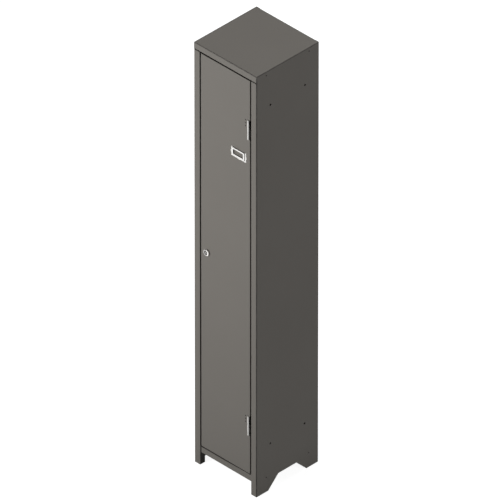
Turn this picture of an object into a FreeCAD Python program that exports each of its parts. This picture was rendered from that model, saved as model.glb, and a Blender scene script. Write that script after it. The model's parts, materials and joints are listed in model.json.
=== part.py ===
import FreeCAD, Part
import math
import os
import Sketcher

# A single steel locker on four short legs, drawn from its left front lower corner:
# X runs to the right, Y to the back from the face of the stiles, Z up from the floor.

doc = FreeCAD.newDocument("single_locker")
sheet = doc.addObject("Spreadsheet::Sheet", "Sizes")

# Driving dimensions in millimetres
SIZES = (
    # Overall
    ("width", 305.0),
    ("depth", 305.0),
    ("height", 1785.0),
    # Folded sheet of the carcass
    ("gauge", 1.0),
    ("inner_bend", 0.8),
    ("nest_gap", 0.2),
    ("stile_width", 27.0),
    ("stile_return", 24.0),
    ("stop_lip", 12.0),
    ("rear_flange", 18.0),
    ("foot_length", 58.0),
    ("arch_height", 50.0),
    ("arch_slope", 50.0),
    # Top and bottom panels
    ("fascia_height", 26.0),
    ("fascia_return", 14.0),
    ("fascia_seam", 1.5),
    ("panel_flange", 26.0),
    ("rail_base", 54.0),
    ("rail_height", 26.0),
    ("rail_return", 14.0),
    ("rail_setback", 1.5),
    ("rail_end_gap", 0.4),
    # Holes that join a row of lockers or fix one to a wall
    ("joining_hole", 8.0),
    ("joining_inset", 68.0),
    ("joining_low", 198.5),
    ("joining_drop", 147.5),
    ("wall_hole", 8.0),
    ("wall_hole_pitch", 160.0),
    ("wall_hole_drop", 90.0),
    # Rivets, with their heads on the inside
    ("rivet_radius", 2.4),
    ("rivet_gap", 0.15),
    ("rivet_recess", 0.5),
    ("rivet_head_radius", 3.6),
    ("rivet_head_height", 1.3),
    ("corner_rivet_inset", 48.2),
    ("top_rivet_drop", 15.6),
    ("bottom_rivet_height", 61.9),
    ("back_rivet_inset", 10.0),
    ("back_rivet_margin", 110.0),
    # Door
    ("door_gap", 5.0),
    ("sill_gap", 4.5),
    ("door_gauge", 1.0),
    ("door_depth", 20.0),
    ("door_lip", 12.0),
    ("stiffener_width", 32.0),
    ("stiffener_depth", 14.0),
    ("stiffener_foot", 14.0),
    ("stiffener_margin", 75.0),
    ("buffer_radius", 5.0),
    ("buffer_stem_radius", 2.5),
    ("buffer_cap_radius", 4.0),
    ("buffer_cap_height", 1.5),
    ("buffer_clearance", 0.2),
    ("buffer_margin", 115.0),
    # Hinges
    ("hinge_inset", 7.6),
    ("upper_hinge_drop", 208.5),
    ("lower_hinge_rise", 204.6),
    ("barrel_radius", 3.5),
    ("pin_radius", 2.0),
    ("pin_gap", 0.05),
    ("knuckle_length", 39.4),
    ("hinge_washer", 0.8),
    ("hinge_end_play", 0.1),
    ("leaf_gauge", 1.5),
    ("leaf_margin", 6.0),
    ("leaf_end_gap", 1.0),
    ("leaf_rivet_reach", 14.0),
    ("leaf_rivet_pitch", 12.5),
    ("leaf_rivet_lift", 4.2),
    ("notch_side_gap", 2.8),
    ("notch_above", 1.5),
    ("notch_below", 1.5),
    # Label holder on the door
    ("label_inset", 54.4),
    ("label_drop", 334.2),
    ("label_width", 72.0),
    ("label_height", 38.0),
    ("label_gauge", 0.8),
    ("label_raise", 4.4),
    ("label_flange", 6.2),
    ("label_border", 5.6),
    ("label_ear", 2.6),
    ("label_ear_height", 9.5),
    ("label_tab", 2.4),
    ("label_rivet_radius", 1.2),
    ("label_rivet_head", 2.0),
    ("label_rivet_cap", 0.7),
    ("label_rivet_edge", 3.0),
    # Cam lock
    ("lock_inset", 31.0),
    ("lock_lift", 8.8),
    ("bezel_radius", 12.3),
    ("bezel_height", 7.5),
    ("bezel_recess_radius", 8.0),
    ("bezel_recess_depth", 3.0),
    ("bezel_bevel", 0.8),
    ("lock_barrel_radius", 9.0),
    ("lock_hole_gap", 0.1),
    ("lock_nut_flats", 24.0),
    ("lock_nut_height", 5.0),
    ("plug_radius", 6.0),
    ("plug_gap", 0.05),
    ("plug_head_radius", 7.4),
    ("plug_head_height", 0.8),
    ("plug_boss_radius", 4.2),
    ("plug_boss_height", 1.8),
    ("plug_end_play", 0.1),
    ("keyway_width", 1.8),
    ("keyway_height", 6.4),
    ("keyway_depth", 2.2),
    ("drive_square", 7.0),
    ("cam_gauge", 2.0),
    ("cam_clearance", 0.8),
    ("cam_width", 16.0),
    ("cam_overlap", 8.0),
    ("cam_tip_round", 4.0),
    ("cam_washer_radius", 7.0),
    ("cam_washer_gauge", 1.0),
    ("cam_screw_radius", 2.0),
    ("cam_screw_length", 10.0),
    ("cam_screw_head_radius", 4.2),
    ("cam_screw_head_height", 2.8),
    ("cam_screw_slot", 1.2),
    # Shelf and coat hook
    ("shelf_drop", 300.0),
    ("shelf_fold", 20.0),
    ("shelf_front_gap", 8.0),
    ("bracket_leg", 20.0),
    ("bracket_gauge", 1.2),
    ("bracket_margin", 40.0),
    ("shelf_rivet_margin", 30.0),
    ("hook_plate_length", 64.0),
    ("hook_plate_width", 18.0),
    ("hook_plate_gauge", 2.0),
    ("hook_rivet_margin", 8.0),
    ("hook_wire_radius", 2.6),
    ("hook_stem", 18.0),
    ("hook_bend", 11.0),
    ("hook_tip", 9.0),
    ("hook_spread", 7.0),
    ("cut_margin", 1.0),
)
BACK_RIVETS_PER_SIDE = 6
NUT_SIDES = 6
DOME_SHARE = 0.9
ON_LINE = 1e-6


class Size:
    """A length worked out from the sheet's cells, kept as an expression that features are bound to."""

    def __init__(self, text):
        self.text = text

    def __add__(self, other):
        return Size(f"({self.text} + {text_of(other)})")

    def __radd__(self, other):
        return Size(f"({text_of(other)} + {self.text})")

    def __sub__(self, other):
        return Size(f"({self.text} - {text_of(other)})")

    def __rsub__(self, other):
        return Size(f"({text_of(other)} - {self.text})")

    def __mul__(self, other):
        return Size(f"({self.text} * {text_of(other)})")

    def __truediv__(self, other):
        return Size(f"({self.text} / {text_of(other)})")

    def __neg__(self):
        return Size(f"(0 - {self.text})")

    def value(self):
        return float(sheet.evalExpression(self.text))


def text_of(term):
    return term.text if isinstance(term, Size) else repr(float(term))


def size_of(term):
    return term if isinstance(term, Size) else Size(text_of(term))


def larger(first, second):
    return Size(f"max({text_of(first)}; {text_of(second)})")


for row, (alias, length) in enumerate(SIZES, start=1):
    sheet.set(f"A{row}", alias.replace("_", " "))
    sheet.set(f"B{row}", str(length))
    sheet.setAlias(f"B{row}", alias)
doc.recompute()


class Cells:
    """The sheet's driving dimensions by name."""

    def __getattr__(self, alias):
        return Size(f"Sizes.{alias}")


c = Cells()
ZERO = Size("0")

# Places that several pieces share
side_bend = c.inner_bend + c.gauge
door_bend = c.inner_bend + c.door_gauge
door_left = c.stile_width + c.door_gap
door_right = c.width - door_left
fascia_bottom = c.height - c.fascia_height
stile_top = fascia_bottom - c.fascia_seam
rail_top = c.rail_base + c.rail_height
door_bottom = rail_top + c.sill_gap
door_top = fascia_bottom - c.door_gap
door_middle = (door_bottom + door_top) / 2
stop_face = c.stile_return - c.gauge
lip_end = c.stile_width + c.stop_lip
back_front = c.depth - c.gauge * 2
hinge_x = door_right - c.hinge_inset
hinge_y = c.door_gauge + c.leaf_gauge - c.barrel_radius
hinge_half = c.knuckle_length + c.hinge_washer / 2 + c.hinge_end_play
upper_hinge_z = door_top - c.upper_hinge_drop
lower_hinge_z = door_bottom + c.lower_hinge_rise
lock_x = door_left + c.lock_inset
lock_z = door_middle + c.lock_lift
label_x = door_right - c.label_inset
label_z = door_top - c.label_drop
shelf_top = c.height - c.shelf_drop
shelf_under = shelf_top - c.gauge
front_reach = larger(c.bezel_height, c.barrel_radius - hinge_y)
rivet_hole = (c.rivet_radius + c.rivet_gap) * 2
label_hole = (c.label_rivet_radius + c.rivet_gap) * 2

# The origin lies on the floor, under the middle of the whole locker.
origin_shift = (-(c.width / 2), (front_reach - c.depth) / 2, ZERO)

nodes = []
pockets = []


def finish(feature, label):
    """Name a finished piece and put it in the locker's own frame."""
    feature.Label = label
    for axis, shift in zip("xyz", origin_shift):
        feature.setExpression(f"Placement.Base.{axis}", shift.text)
    nodes.append(feature)
    return feature


def new_body(name):
    return doc.addObject("PartDesign::Body", name)


def sketch_at(body, plane, level):
    """A sketch of a body on one of its origin planes, moved out to a level."""
    sketch = body.newObject("Sketcher::SketchObject", "outline")
    support = next(item for item in body.Origin.OriginFeatures if item.Role == f"{plane}_Plane")
    sketch.AttachmentSupport = [(support, "")]
    sketch.MapMode = "FlatFace"
    offset = -size_of(level) if plane == "XZ" else size_of(level)
    sketch.setExpression("AttachmentOffset.Base.z", offset.text)
    return sketch


def pin_point(sketch, geometry, point, across, along):
    """Tie a point of a sketch to its place."""
    for kind, term in (("DistanceX", size_of(across)), ("DistanceY", size_of(along))):
        index = sketch.addConstraint(Sketcher.Constraint(kind, -1, 1, geometry, point, term.value()))
        sketch.setExpression(f"Constraints[{index}]", term.text)


def draw_polygon(sketch, points):
    """A closed outline of straight sides through the points."""
    corners = [FreeCAD.Vector(size_of(u).value(), size_of(v).value(), 0) for u, v in points]
    first = sketch.GeometryCount
    count = len(corners)
    for side in range(count):
        sketch.addGeometry(Part.LineSegment(corners[side], corners[(side + 1) % count]), False)
    for side in range(count):
        following = first + (side + 1) % count
        sketch.addConstraint(Sketcher.Constraint("Coincident", first + side, 2, following, 1))
    for side, (u, v) in enumerate(points):
        pin_point(sketch, first + side, 1, u, v)


def draw_circle(sketch, u, v, radius):
    """A circle about a centre."""
    centre = FreeCAD.Vector(size_of(u).value(), size_of(v).value(), 0)
    index = sketch.addGeometry(Part.Circle(centre, FreeCAD.Vector(0, 0, 1), radius.value()), False)
    pin_point(sketch, index, 3, u, v)
    bound = sketch.addConstraint(Sketcher.Constraint("Radius", index, radius.value()))
    sketch.setExpression(f"Constraints[{bound}]", radius.text)


def box_outline(u_low, u_high, v_low, v_high):
    return ((u_low, v_low), (u_high, v_low), (u_high, v_high), (u_low, v_high))


def draw(sketch, outlines):
    """Draw each outline: a circle as (u, v, radius), or a polygon as a row of points."""
    for outline in outlines:
        if isinstance(outline[0], tuple):
            draw_polygon(sketch, outline)
        else:
            draw_circle(sketch, *outline)


def pad(body, plane, outlines, low, high):
    """Add material over the outlines, from one level to another."""
    sketch = sketch_at(body, plane, low)
    draw(sketch, outlines)
    feature = body.newObject("PartDesign::Pad", "pad")
    feature.Profile = sketch
    feature.Reversed = plane == "XZ"
    feature.setExpression("Length", (size_of(high) - low).text)
    doc.recompute()


def pocket(body, plane, outlines, low, high):
    """Cut the outlines away, from one level to another."""
    before = body.Shape.Volume
    sketch = sketch_at(body, plane, low if plane == "XZ" else high)
    draw(sketch, outlines)
    feature = body.newObject("PartDesign::Pocket", "pocket")
    feature.Profile = sketch
    feature.setExpression("Length", (size_of(high) - low).text)
    doc.recompute()
    pockets.append((body, before - body.Shape.Volume))


def round_edges(body, lines, radius):
    """Round the straight edges on lines given as an axis and the place across it, in XYZ order."""
    names = []
    for axis, u, v in lines:
        across = [index for index in range(3) if index != "XYZ".index(axis)]
        target = (size_of(u).value(), size_of(v).value())
        for number, edge in enumerate(body.Tip.Shape.Edges, start=1):
            ends = [vertex.Point for vertex in edge.Vertexes]
            if len(ends) != 2 or not isinstance(edge.Curve, Part.Line):
                continue
            if all(abs(end[k] - place) < ON_LINE for end in ends for k, place in zip(across, target)):
                names.append(f"Edge{number}")
    add_fillet(body, names, radius)


def round_rims(body, axis, level, rim_radius, radius):
    """Round the circular edges of one radius at a level along an axis."""
    index = "XYZ".index(axis)
    names = []
    for number, edge in enumerate(body.Tip.Shape.Edges, start=1):
        if not isinstance(edge.Curve, Part.Circle):
            continue
        on_level = abs(edge.Curve.Center[index] - size_of(level).value()) < ON_LINE
        if on_level and abs(edge.Curve.Radius - rim_radius.value()) < ON_LINE:
            names.append(f"Edge{number}")
    add_fillet(body, names, radius)


def add_fillet(body, names, radius):
    fillet = body.newObject("PartDesign::Fillet", "fillet")
    fillet.Base = (fillet.BaseFeature, names)
    fillet.setExpression("Radius", radius.text)
    doc.recompute()


def add_group(label, prototype, places, inward):
    """Copies of one small piece at several places, its axis turned from +Z to a direction."""
    copies = []
    for number, (place, direction) in enumerate(zip(places, inward), start=1):
        copy = doc.addObject("App::Link", f"{label}_copy{number}")
        copy.LinkedObject = prototype
        turn = FreeCAD.Rotation(FreeCAD.Vector(0, 0, 1), FreeCAD.Vector(*direction))
        copy.LinkPlacement = FreeCAD.Placement(FreeCAD.Vector(0, 0, 0), turn)
        for axis, coordinate in zip("xyz", place):
            copy.setExpression(f"LinkPlacement.Base.{axis}", size_of(coordinate).text)
        copies.append(copy)
    group = doc.addObject("Part::Compound", label)
    group.Links = copies
    return finish(group, label)


RIGHTWARD, LEFTWARD = (1, 0, 0), (-1, 0, 0)
BACKWARD, FORWARD = (0, 1, 0), (0, -1, 0)
DOWNWARD, UPWARD = (0, 0, -1), (0, 0, 1)


def rivet_prototype(name, start, grip, radius, head_radius, head_height):
    """A rivet along +Z: its shank from start to grip, then a domed head."""
    body = new_body(name)
    pad(body, "XY", [(ZERO, ZERO, radius)], start, grip)
    pad(body, "XY", [(ZERO, ZERO, head_radius)], grip, grip + head_height)
    round_rims(body, "Z", grip + head_height, head_radius, head_height * DOME_SHARE)
    return body


def sheet_rivet(name, grip):
    """A rivet through sheets of a total thickness, its end below the outer face."""
    return rivet_prototype(
        name, c.rivet_recess, grip, c.rivet_radius, c.rivet_head_radius, c.rivet_head_height
    )


# Side panels

corner_rivet_depths = (c.corner_rivet_inset, c.depth - c.corner_rivet_inset)
top_rivet_z = c.height - c.top_rivet_drop
joining_depths = (c.joining_inset, c.depth - c.joining_inset)
joining_heights = (c.joining_low, c.height - c.joining_drop)
back_rivet_rise = (c.height - c.back_rivet_margin * 2) / (BACK_RIVETS_PER_SIDE - 1)
back_rivet_heights = [
    c.back_rivet_margin + back_rivet_rise * step for step in range(BACK_RIVETS_PER_SIDE)
]
buffer_heights = (door_bottom + c.buffer_margin, door_top - c.buffer_margin)
buffer_x = c.stile_width + c.stop_lip / 2
frame_leaf_left = hinge_x + c.barrel_radius
frame_leaf_right = c.width - c.stile_width - c.leaf_end_gap
frame_rivet_x = (frame_leaf_left + frame_leaf_right) / 2


def frame_rivet_heights(centre):
    middle = centre - hinge_half / 2
    return (middle - c.leaf_rivet_pitch, middle + c.leaf_rivet_pitch)


def side_panel(label, from_side, skin_low):
    """A side sheet folded into stile, return and stop lip at the front and a flange at the back.

    from_side turns a distance from the panel's own outer face into X, and skin_low is the lower
    X of its skin.
    """
    body = new_body(label)
    outer, skin = from_side(ZERO), from_side(c.gauge)
    stile, stile_inner = from_side(c.stile_width), from_side(c.stile_width - c.gauge)
    rear, lip = from_side(c.rear_flange), from_side(lip_end)
    profile = (
        (rear, c.depth),
        (outer, c.depth),
        (outer, ZERO),
        (stile, ZERO),
        (stile, stop_face),
        (lip, stop_face),
        (lip, c.stile_return),
        (stile_inner, c.stile_return),
        (stile_inner, c.gauge),
        (skin, c.gauge),
        (skin, c.depth - c.gauge),
        (rear, c.depth - c.gauge),
    )
    pad(body, "XY", [profile], ZERO, c.height)
    outside_bends = (
        ("Z", outer, c.depth),
        ("Z", outer, ZERO),
        ("Z", stile, ZERO),
        ("Z", stile_inner, c.stile_return),
    )
    round_edges(body, outside_bends, side_bend)
    inside_bends = (
        ("Z", skin, c.depth - c.gauge),
        ("Z", skin, c.gauge),
        ("Z", stile_inner, c.gauge),
        ("Z", stile, stop_face),
    )
    round_edges(body, inside_bends, c.inner_bend)
    past_outer, past_lip = from_side(-c.cut_margin), from_side(lip_end + c.cut_margin)
    past_return = c.stile_return + c.cut_margin
    fascia_room = (
        (past_outer, -c.cut_margin),
        (past_lip, -c.cut_margin),
        (past_lip, past_return),
        (skin, past_return),
        (skin, c.gauge),
        (past_outer, c.gauge),
    )
    pocket(body, "XY", [fascia_room], stile_top, c.height + c.cut_margin)
    lip_room = box_outline(stile, past_lip, stop_face - c.inner_bend, past_return)
    pocket(body, "XY", [lip_room], -c.cut_margin, door_bottom)
    arch = (
        (c.foot_length, ZERO),
        (c.foot_length + c.arch_slope, c.arch_height),
        (c.depth - c.foot_length - c.arch_slope, c.arch_height),
        (c.depth - c.foot_length, ZERO),
        (c.depth - c.foot_length, -c.cut_margin),
        (c.foot_length, -c.cut_margin),
    )
    holes = [(y, z, c.joining_hole / 2) for y in joining_depths for z in joining_heights]
    corner_rivet_heights = (top_rivet_z, c.bottom_rivet_height)
    holes += [(y, z, rivet_hole / 2) for y in corner_rivet_depths for z in corner_rivet_heights]
    pocket(body, "YZ", [arch] + holes, skin_low - c.cut_margin, skin_low + c.gauge + c.cut_margin)
    rear_holes = [(from_side(c.back_rivet_inset), z, rivet_hole / 2) for z in back_rivet_heights]
    pocket(body, "XZ", rear_holes, c.depth - c.gauge - c.cut_margin, c.depth + c.cut_margin)
    return body


def from_left_side(distance):
    return size_of(distance)


def from_right_side(distance):
    return c.width - distance


left_panel = side_panel("left_side_panel", from_left_side, ZERO)
buffer_holes = [(buffer_x, z, c.buffer_stem_radius + c.buffer_clearance) for z in buffer_heights]
pocket(left_panel, "XZ", buffer_holes, stop_face - c.cut_margin, c.stile_return + c.cut_margin)
finish(left_panel, "left_side_panel")

right_panel = side_panel("right_side_panel", from_right_side, c.width - c.gauge)
frame_rivet_holes = [
    (frame_rivet_x, z, rivet_hole / 2)
    for centre in (upper_hinge_z, lower_hinge_z)
    for z in frame_rivet_heights(centre)
]
pocket(right_panel, "XZ", frame_rivet_holes, stop_face - c.cut_margin, c.stile_return + c.cut_margin)
finish(right_panel, "right_side_panel")

# Back panel, inside the rear flanges

back = new_body("back_panel")
back_left = side_bend + c.nest_gap
back_right = c.width - back_left
back_outline = box_outline(back_left, back_right, c.rail_base, c.height)
pad(back, "XZ", [back_outline], back_front, c.depth - c.gauge)
wall_hole_xs = (c.width / 2 - c.wall_hole_pitch / 2, c.width / 2 + c.wall_hole_pitch / 2)
back_rivet_xs = (c.back_rivet_inset, c.width - c.back_rivet_inset)
back_holes = [(x, z, rivet_hole / 2) for x in back_rivet_xs for z in back_rivet_heights]
back_holes += [(x, c.height - c.wall_hole_drop, c.wall_hole / 2) for x in wall_hole_xs]
pocket(back, "XZ", back_holes, back_front - c.cut_margin, c.depth)
finish(back, "back_panel")

# Top panel: a tray between the side sheets, with a fascia across the whole front

top = new_body("top_panel")
top_left, top_right = c.gauge, c.width - c.gauge
top_under = c.height - c.gauge
flange_bottom = c.height - c.panel_flange
pad(top, "XY", [box_outline(top_left, top_right, ZERO, back_front)], top_under, c.height)
pad(top, "XZ", [box_outline(ZERO, c.width, fascia_bottom, c.height)], ZERO, c.gauge)
fascia_inner_left, fascia_inner_right = c.stile_width, c.width - c.stile_width
fascia_lip = box_outline(fascia_inner_left, fascia_inner_right, ZERO, c.fascia_return)
pad(top, "XY", [fascia_lip], fascia_bottom, fascia_bottom + c.gauge)
flange_front = c.stile_return + c.cut_margin
for near, far in ((top_left, top_left + c.gauge), (top_right - c.gauge, top_right)):
    pad(top, "YZ", [box_outline(flange_front, back_front, flange_bottom, c.height)], near, far)
rear_flange_outline = box_outline(top_left, top_right, flange_bottom, c.height)
pad(top, "XZ", [rear_flange_outline], back_front - c.gauge, back_front)
round_edges(top, (("X", ZERO, c.height), ("X", ZERO, fascia_bottom)), side_bend)
top_inside_bends = (("X", c.gauge, top_under), ("X", c.gauge, fascia_bottom + c.gauge))
round_edges(top, top_inside_bends, c.inner_bend)
top_holes = [(y, top_rivet_z, rivet_hole / 2) for y in corner_rivet_depths]
for near in (top_left, top_right - c.gauge):
    pocket(top, "YZ", top_holes, near - c.cut_margin, near + c.gauge + c.cut_margin)
finish(top, "top_panel")

# Bottom panel: the floor, its rail at the front and flanges on the other three sides

bottom = new_body("bottom_panel")
floor_under = rail_top - c.gauge
rail_left = c.stile_width + c.rail_end_gap
rail_right = c.width - rail_left
rail_back = c.rail_setback + c.gauge
floor_step = c.stile_return + c.cut_margin
floor_outline = (
    (rail_left, c.rail_setback),
    (rail_right, c.rail_setback),
    (rail_right, floor_step),
    (top_right, floor_step),
    (top_right, back_front),
    (top_left, back_front),
    (top_left, floor_step),
    (rail_left, floor_step),
)
pad(bottom, "XY", [floor_outline], floor_under, rail_top)
pad(bottom, "XZ", [box_outline(rail_left, rail_right, c.rail_base, rail_top)], c.rail_setback, rail_back)
rail_lip = box_outline(rail_left, rail_right, c.rail_setback, c.rail_setback + c.rail_return)
pad(bottom, "XY", [rail_lip], c.rail_base, c.rail_base + c.gauge)
for near, far in ((top_left, top_left + c.gauge), (top_right - c.gauge, top_right)):
    pad(bottom, "YZ", [box_outline(floor_step, back_front, c.rail_base, rail_top)], near, far)
floor_flange = box_outline(top_left, top_right, c.rail_base, rail_top)
pad(bottom, "XZ", [floor_flange], back_front - c.gauge, back_front)
round_edges(bottom, (("X", c.rail_setback, rail_top), ("X", c.rail_setback, c.rail_base)), side_bend)
rail_inside_bends = (("X", rail_back, floor_under), ("X", rail_back, c.rail_base + c.gauge))
round_edges(bottom, rail_inside_bends, c.inner_bend)
bottom_holes = [(y, c.bottom_rivet_height, rivet_hole / 2) for y in corner_rivet_depths]
for near in (top_left, top_right - c.gauge):
    pocket(bottom, "YZ", bottom_holes, near - c.cut_margin, near + c.gauge + c.cut_margin)
finish(bottom, "bottom_panel")

# Rivets of the carcass


def corner_rivets(label, prototype, z):
    """Four rivets that hold a panel's flanges to the two side sheets."""
    places = [(x, y, z) for x in (ZERO, c.width) for y in corner_rivet_depths]
    add_group(label, prototype, places, [RIGHTWARD] * 2 + [LEFTWARD] * 2)


sheet_pair = sheet_rivet("sheet_pair_rivet", c.gauge * 2)
corner_rivets("top_panel_rivets", sheet_pair, top_rivet_z)
corner_rivets("bottom_panel_rivets", sheet_pair, c.bottom_rivet_height)
back_rivet_places = [(x, c.depth, z) for x in back_rivet_xs for z in back_rivet_heights]
add_group("back_panel_rivets", sheet_pair, back_rivet_places, [FORWARD] * len(back_rivet_places))

# Hat shelf on two angle brackets, and a double coat hook under it

shelf = new_body("hat_shelf")
shelf_left, shelf_right = c.gauge + c.nest_gap, c.width - c.gauge - c.nest_gap
shelf_front = c.stile_return + c.shelf_front_gap
shelf_rear = back_front - c.nest_gap
fold_bottom = shelf_top - c.shelf_fold
shelf_plan = box_outline(shelf_left, shelf_right, shelf_front, shelf_rear)
pad(shelf, "XY", [shelf_plan], shelf_under, shelf_top)
fold_outline = box_outline(shelf_left, shelf_right, fold_bottom, shelf_top)
pad(shelf, "XZ", [fold_outline], shelf_front, shelf_front + c.gauge)
pad(shelf, "XZ", [fold_outline], shelf_rear - c.gauge, shelf_rear)
round_edges(shelf, (("X", shelf_front, shelf_top), ("X", shelf_rear, shelf_top)), side_bend)
bracket_front, bracket_rear = shelf_front + c.bracket_margin, shelf_rear - c.bracket_margin
bracket_top = shelf_under
bracket_inner = c.gauge + c.bracket_leg
shelf_rivet_x = c.gauge + c.bracket_leg / 2 + c.bracket_gauge
shelf_rivet_xs = (shelf_rivet_x, c.width - shelf_rivet_x)
shelf_rivet_ys = (bracket_front + c.shelf_rivet_margin, bracket_rear - c.shelf_rivet_margin)
hook_y = (shelf_front + shelf_rear) / 2
hook_half = c.hook_plate_length / 2
hook_rivet_xs = [c.width / 2 + (hook_half - c.hook_rivet_margin) * side for side in (-1, 1)]
shelf_holes = [(x, y, rivet_hole / 2) for x in shelf_rivet_xs for y in shelf_rivet_ys]
shelf_holes += [(x, hook_y, rivet_hole / 2) for x in hook_rivet_xs]
pocket(shelf, "XY", shelf_holes, shelf_under - c.cut_margin, shelf_top + c.cut_margin)
finish(shelf, "hat_shelf")


def shelf_bracket(label, from_side, rivet_x):
    """An angle along a side sheet that carries one edge of the shelf."""
    body = new_body(label)
    angle = (
        (from_side(c.gauge), bracket_top),
        (from_side(bracket_inner), bracket_top),
        (from_side(bracket_inner), bracket_top - c.bracket_gauge),
        (from_side(c.gauge + c.bracket_gauge), bracket_top - c.bracket_gauge),
        (from_side(c.gauge + c.bracket_gauge), bracket_top - c.bracket_leg),
        (from_side(c.gauge), bracket_top - c.bracket_leg),
    )
    pad(body, "XZ", [angle], bracket_front, bracket_rear)
    holes = [(rivet_x, y, rivet_hole / 2) for y in shelf_rivet_ys]
    pocket(body, "XY", holes, bracket_top - c.bracket_gauge - c.cut_margin, bracket_top + c.cut_margin)
    finish(body, label)


shelf_bracket("left_shelf_bracket", from_left_side, shelf_rivet_xs[0])
shelf_bracket("right_shelf_bracket", from_right_side, shelf_rivet_xs[1])
shelf_rivet = sheet_rivet("shelf_rivet", c.gauge + c.bracket_gauge)
shelf_rivet_places = [(x, y, shelf_top) for x in shelf_rivet_xs for y in shelf_rivet_ys]
add_group("shelf_rivets", shelf_rivet, shelf_rivet_places, [DOWNWARD] * len(shelf_rivet_places))

hook = new_body("coat_hook")
hook_plate_bottom = shelf_under - c.hook_plate_gauge
hook_plan = box_outline(
    c.width / 2 - hook_half,
    c.width / 2 + hook_half,
    hook_y - c.hook_plate_width / 2,
    hook_y + c.hook_plate_width / 2,
)
pad(hook, "XY", [hook_plan], hook_plate_bottom, shelf_under)
bend_z = hook_plate_bottom - c.hook_stem


def hook_prong(side):
    """A round prong that drops from the plate, bends outwards and turns up to a tip."""
    stem_x = c.width / 2 + c.hook_spread * side
    bend_x = stem_x + c.hook_bend * side
    tip_x = bend_x + c.hook_bend * side
    path = sketch_at(hook, "XZ", hook_y)
    start = FreeCAD.Vector(stem_x.value(), shelf_under.value(), 0)
    stem_end = FreeCAD.Vector(stem_x.value(), bend_z.value(), 0)
    lowest = FreeCAD.Vector(bend_x.value(), (bend_z - c.hook_bend).value(), 0)
    rise = FreeCAD.Vector(tip_x.value(), bend_z.value(), 0)
    tip = FreeCAD.Vector(tip_x.value(), (bend_z + c.hook_tip).value(), 0)
    stem_line = path.addGeometry(Part.LineSegment(start, stem_end), False)
    bend_arc = path.addGeometry(Part.Arc(stem_end, lowest, rise), False)
    tip_line = path.addGeometry(Part.LineSegment(rise, tip), False)
    first_end, last_end = (1, 2) if side > 0 else (2, 1)
    path.addConstraint(Sketcher.Constraint("Coincident", stem_line, 2, bend_arc, first_end))
    path.addConstraint(Sketcher.Constraint("Coincident", bend_arc, last_end, tip_line, 1))
    pin_point(path, stem_line, 1, stem_x, shelf_under)
    pin_point(path, stem_line, 2, stem_x, bend_z)
    pin_point(path, tip_line, 1, tip_x, bend_z)
    pin_point(path, tip_line, 2, tip_x, bend_z + c.hook_tip)
    height = path.addConstraint(Sketcher.Constraint("DistanceY", -1, 1, bend_arc, 3, bend_z.value()))
    path.setExpression(f"Constraints[{height}]", bend_z.text)
    section = sketch_at(hook, "XY", shelf_under)
    draw_circle(section, stem_x, hook_y, c.hook_wire_radius)
    prong = hook.newObject("PartDesign::AdditivePipe", "prong")
    prong.Profile = section
    prong.Spine = (path, [])
    doc.recompute()
    round_rims(hook, "Z", bend_z + c.hook_tip, c.hook_wire_radius, c.hook_wire_radius * DOME_SHARE)


for side in (-1, 1):
    hook_prong(side)
hook_holes = [(x, hook_y, rivet_hole / 2) for x in hook_rivet_xs]
pocket(hook, "XY", hook_holes, hook_plate_bottom - c.cut_margin, shelf_under + c.cut_margin)
finish(hook, "coat_hook")
hook_rivet = sheet_rivet("coat_hook_rivet", c.gauge + c.hook_plate_gauge)
hook_rivet_places = [(x, hook_y, shelf_top) for x in hook_rivet_xs]
add_group("coat_hook_rivets", hook_rivet, hook_rivet_places, [DOWNWARD] * len(hook_rivet_places))

# Rubber buttons on the left stop lip, which the closed door nearly touches

buffer = new_body("buffer_button")
buffer_height = stop_face - c.door_depth - c.buffer_clearance
pad(buffer, "XY", [(ZERO, ZERO, c.buffer_radius)], ZERO, buffer_height)
pad(buffer, "XY", [(ZERO, ZERO, c.buffer_stem_radius)], buffer_height, buffer_height + c.gauge)
cap_start = buffer_height + c.gauge
pad(buffer, "XY", [(ZERO, ZERO, c.buffer_cap_radius)], cap_start, cap_start + c.buffer_cap_height)
round_rims(buffer, "Z", ZERO, c.buffer_radius, buffer_height / 2)
buffer_front = stop_face - buffer_height
buffer_places = [(buffer_x, buffer_front, z) for z in buffer_heights]
add_group("door_buffers", buffer, buffer_places, [BACKWARD] * len(buffer_places))

# Hinges: an upper knuckle on the door, a lower one on the frame, a washer between, a pin through

leaf_rivet_x = hinge_x - c.leaf_rivet_reach
leaf_back = c.door_gauge + c.leaf_gauge
bore_radius = c.pin_radius + c.pin_gap
knuckle_gap = c.hinge_washer / 2 + c.hinge_end_play


def leaf_rivet_heights(centre):
    middle = centre + hinge_half / 2 + c.leaf_rivet_lift
    return [middle + c.leaf_rivet_pitch * step for step in (-1, 0, 1)]


def bore(body, centre):
    """Cut the pin's bore through a leaf's knuckle."""
    hole = (hinge_x, hinge_y, bore_radius)
    pocket(body, "XY", [hole], centre - hinge_half - c.cut_margin, centre + hinge_half + c.cut_margin)


def door_leaf(label, centre):
    """The leaf behind the door's skin, whose knuckle is the hinge's upper half."""
    body = new_body(label)
    heights = leaf_rivet_heights(centre)
    knuckle_bottom = centre + knuckle_gap
    pad(body, "XY", [(hinge_x, hinge_y, c.barrel_radius)], knuckle_bottom, centre + hinge_half)
    plate = box_outline(
        leaf_rivet_x - c.leaf_margin,
        hinge_x,
        knuckle_bottom,
        heights[-1] + c.leaf_margin,
    )
    pad(body, "XZ", [plate], c.door_gauge, leaf_back)
    bore(body, centre)
    holes = [(leaf_rivet_x, z, rivet_hole / 2) for z in heights]
    pocket(body, "XZ", holes, c.door_gauge - c.cut_margin, leaf_back + c.cut_margin)
    finish(body, label)


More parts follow.
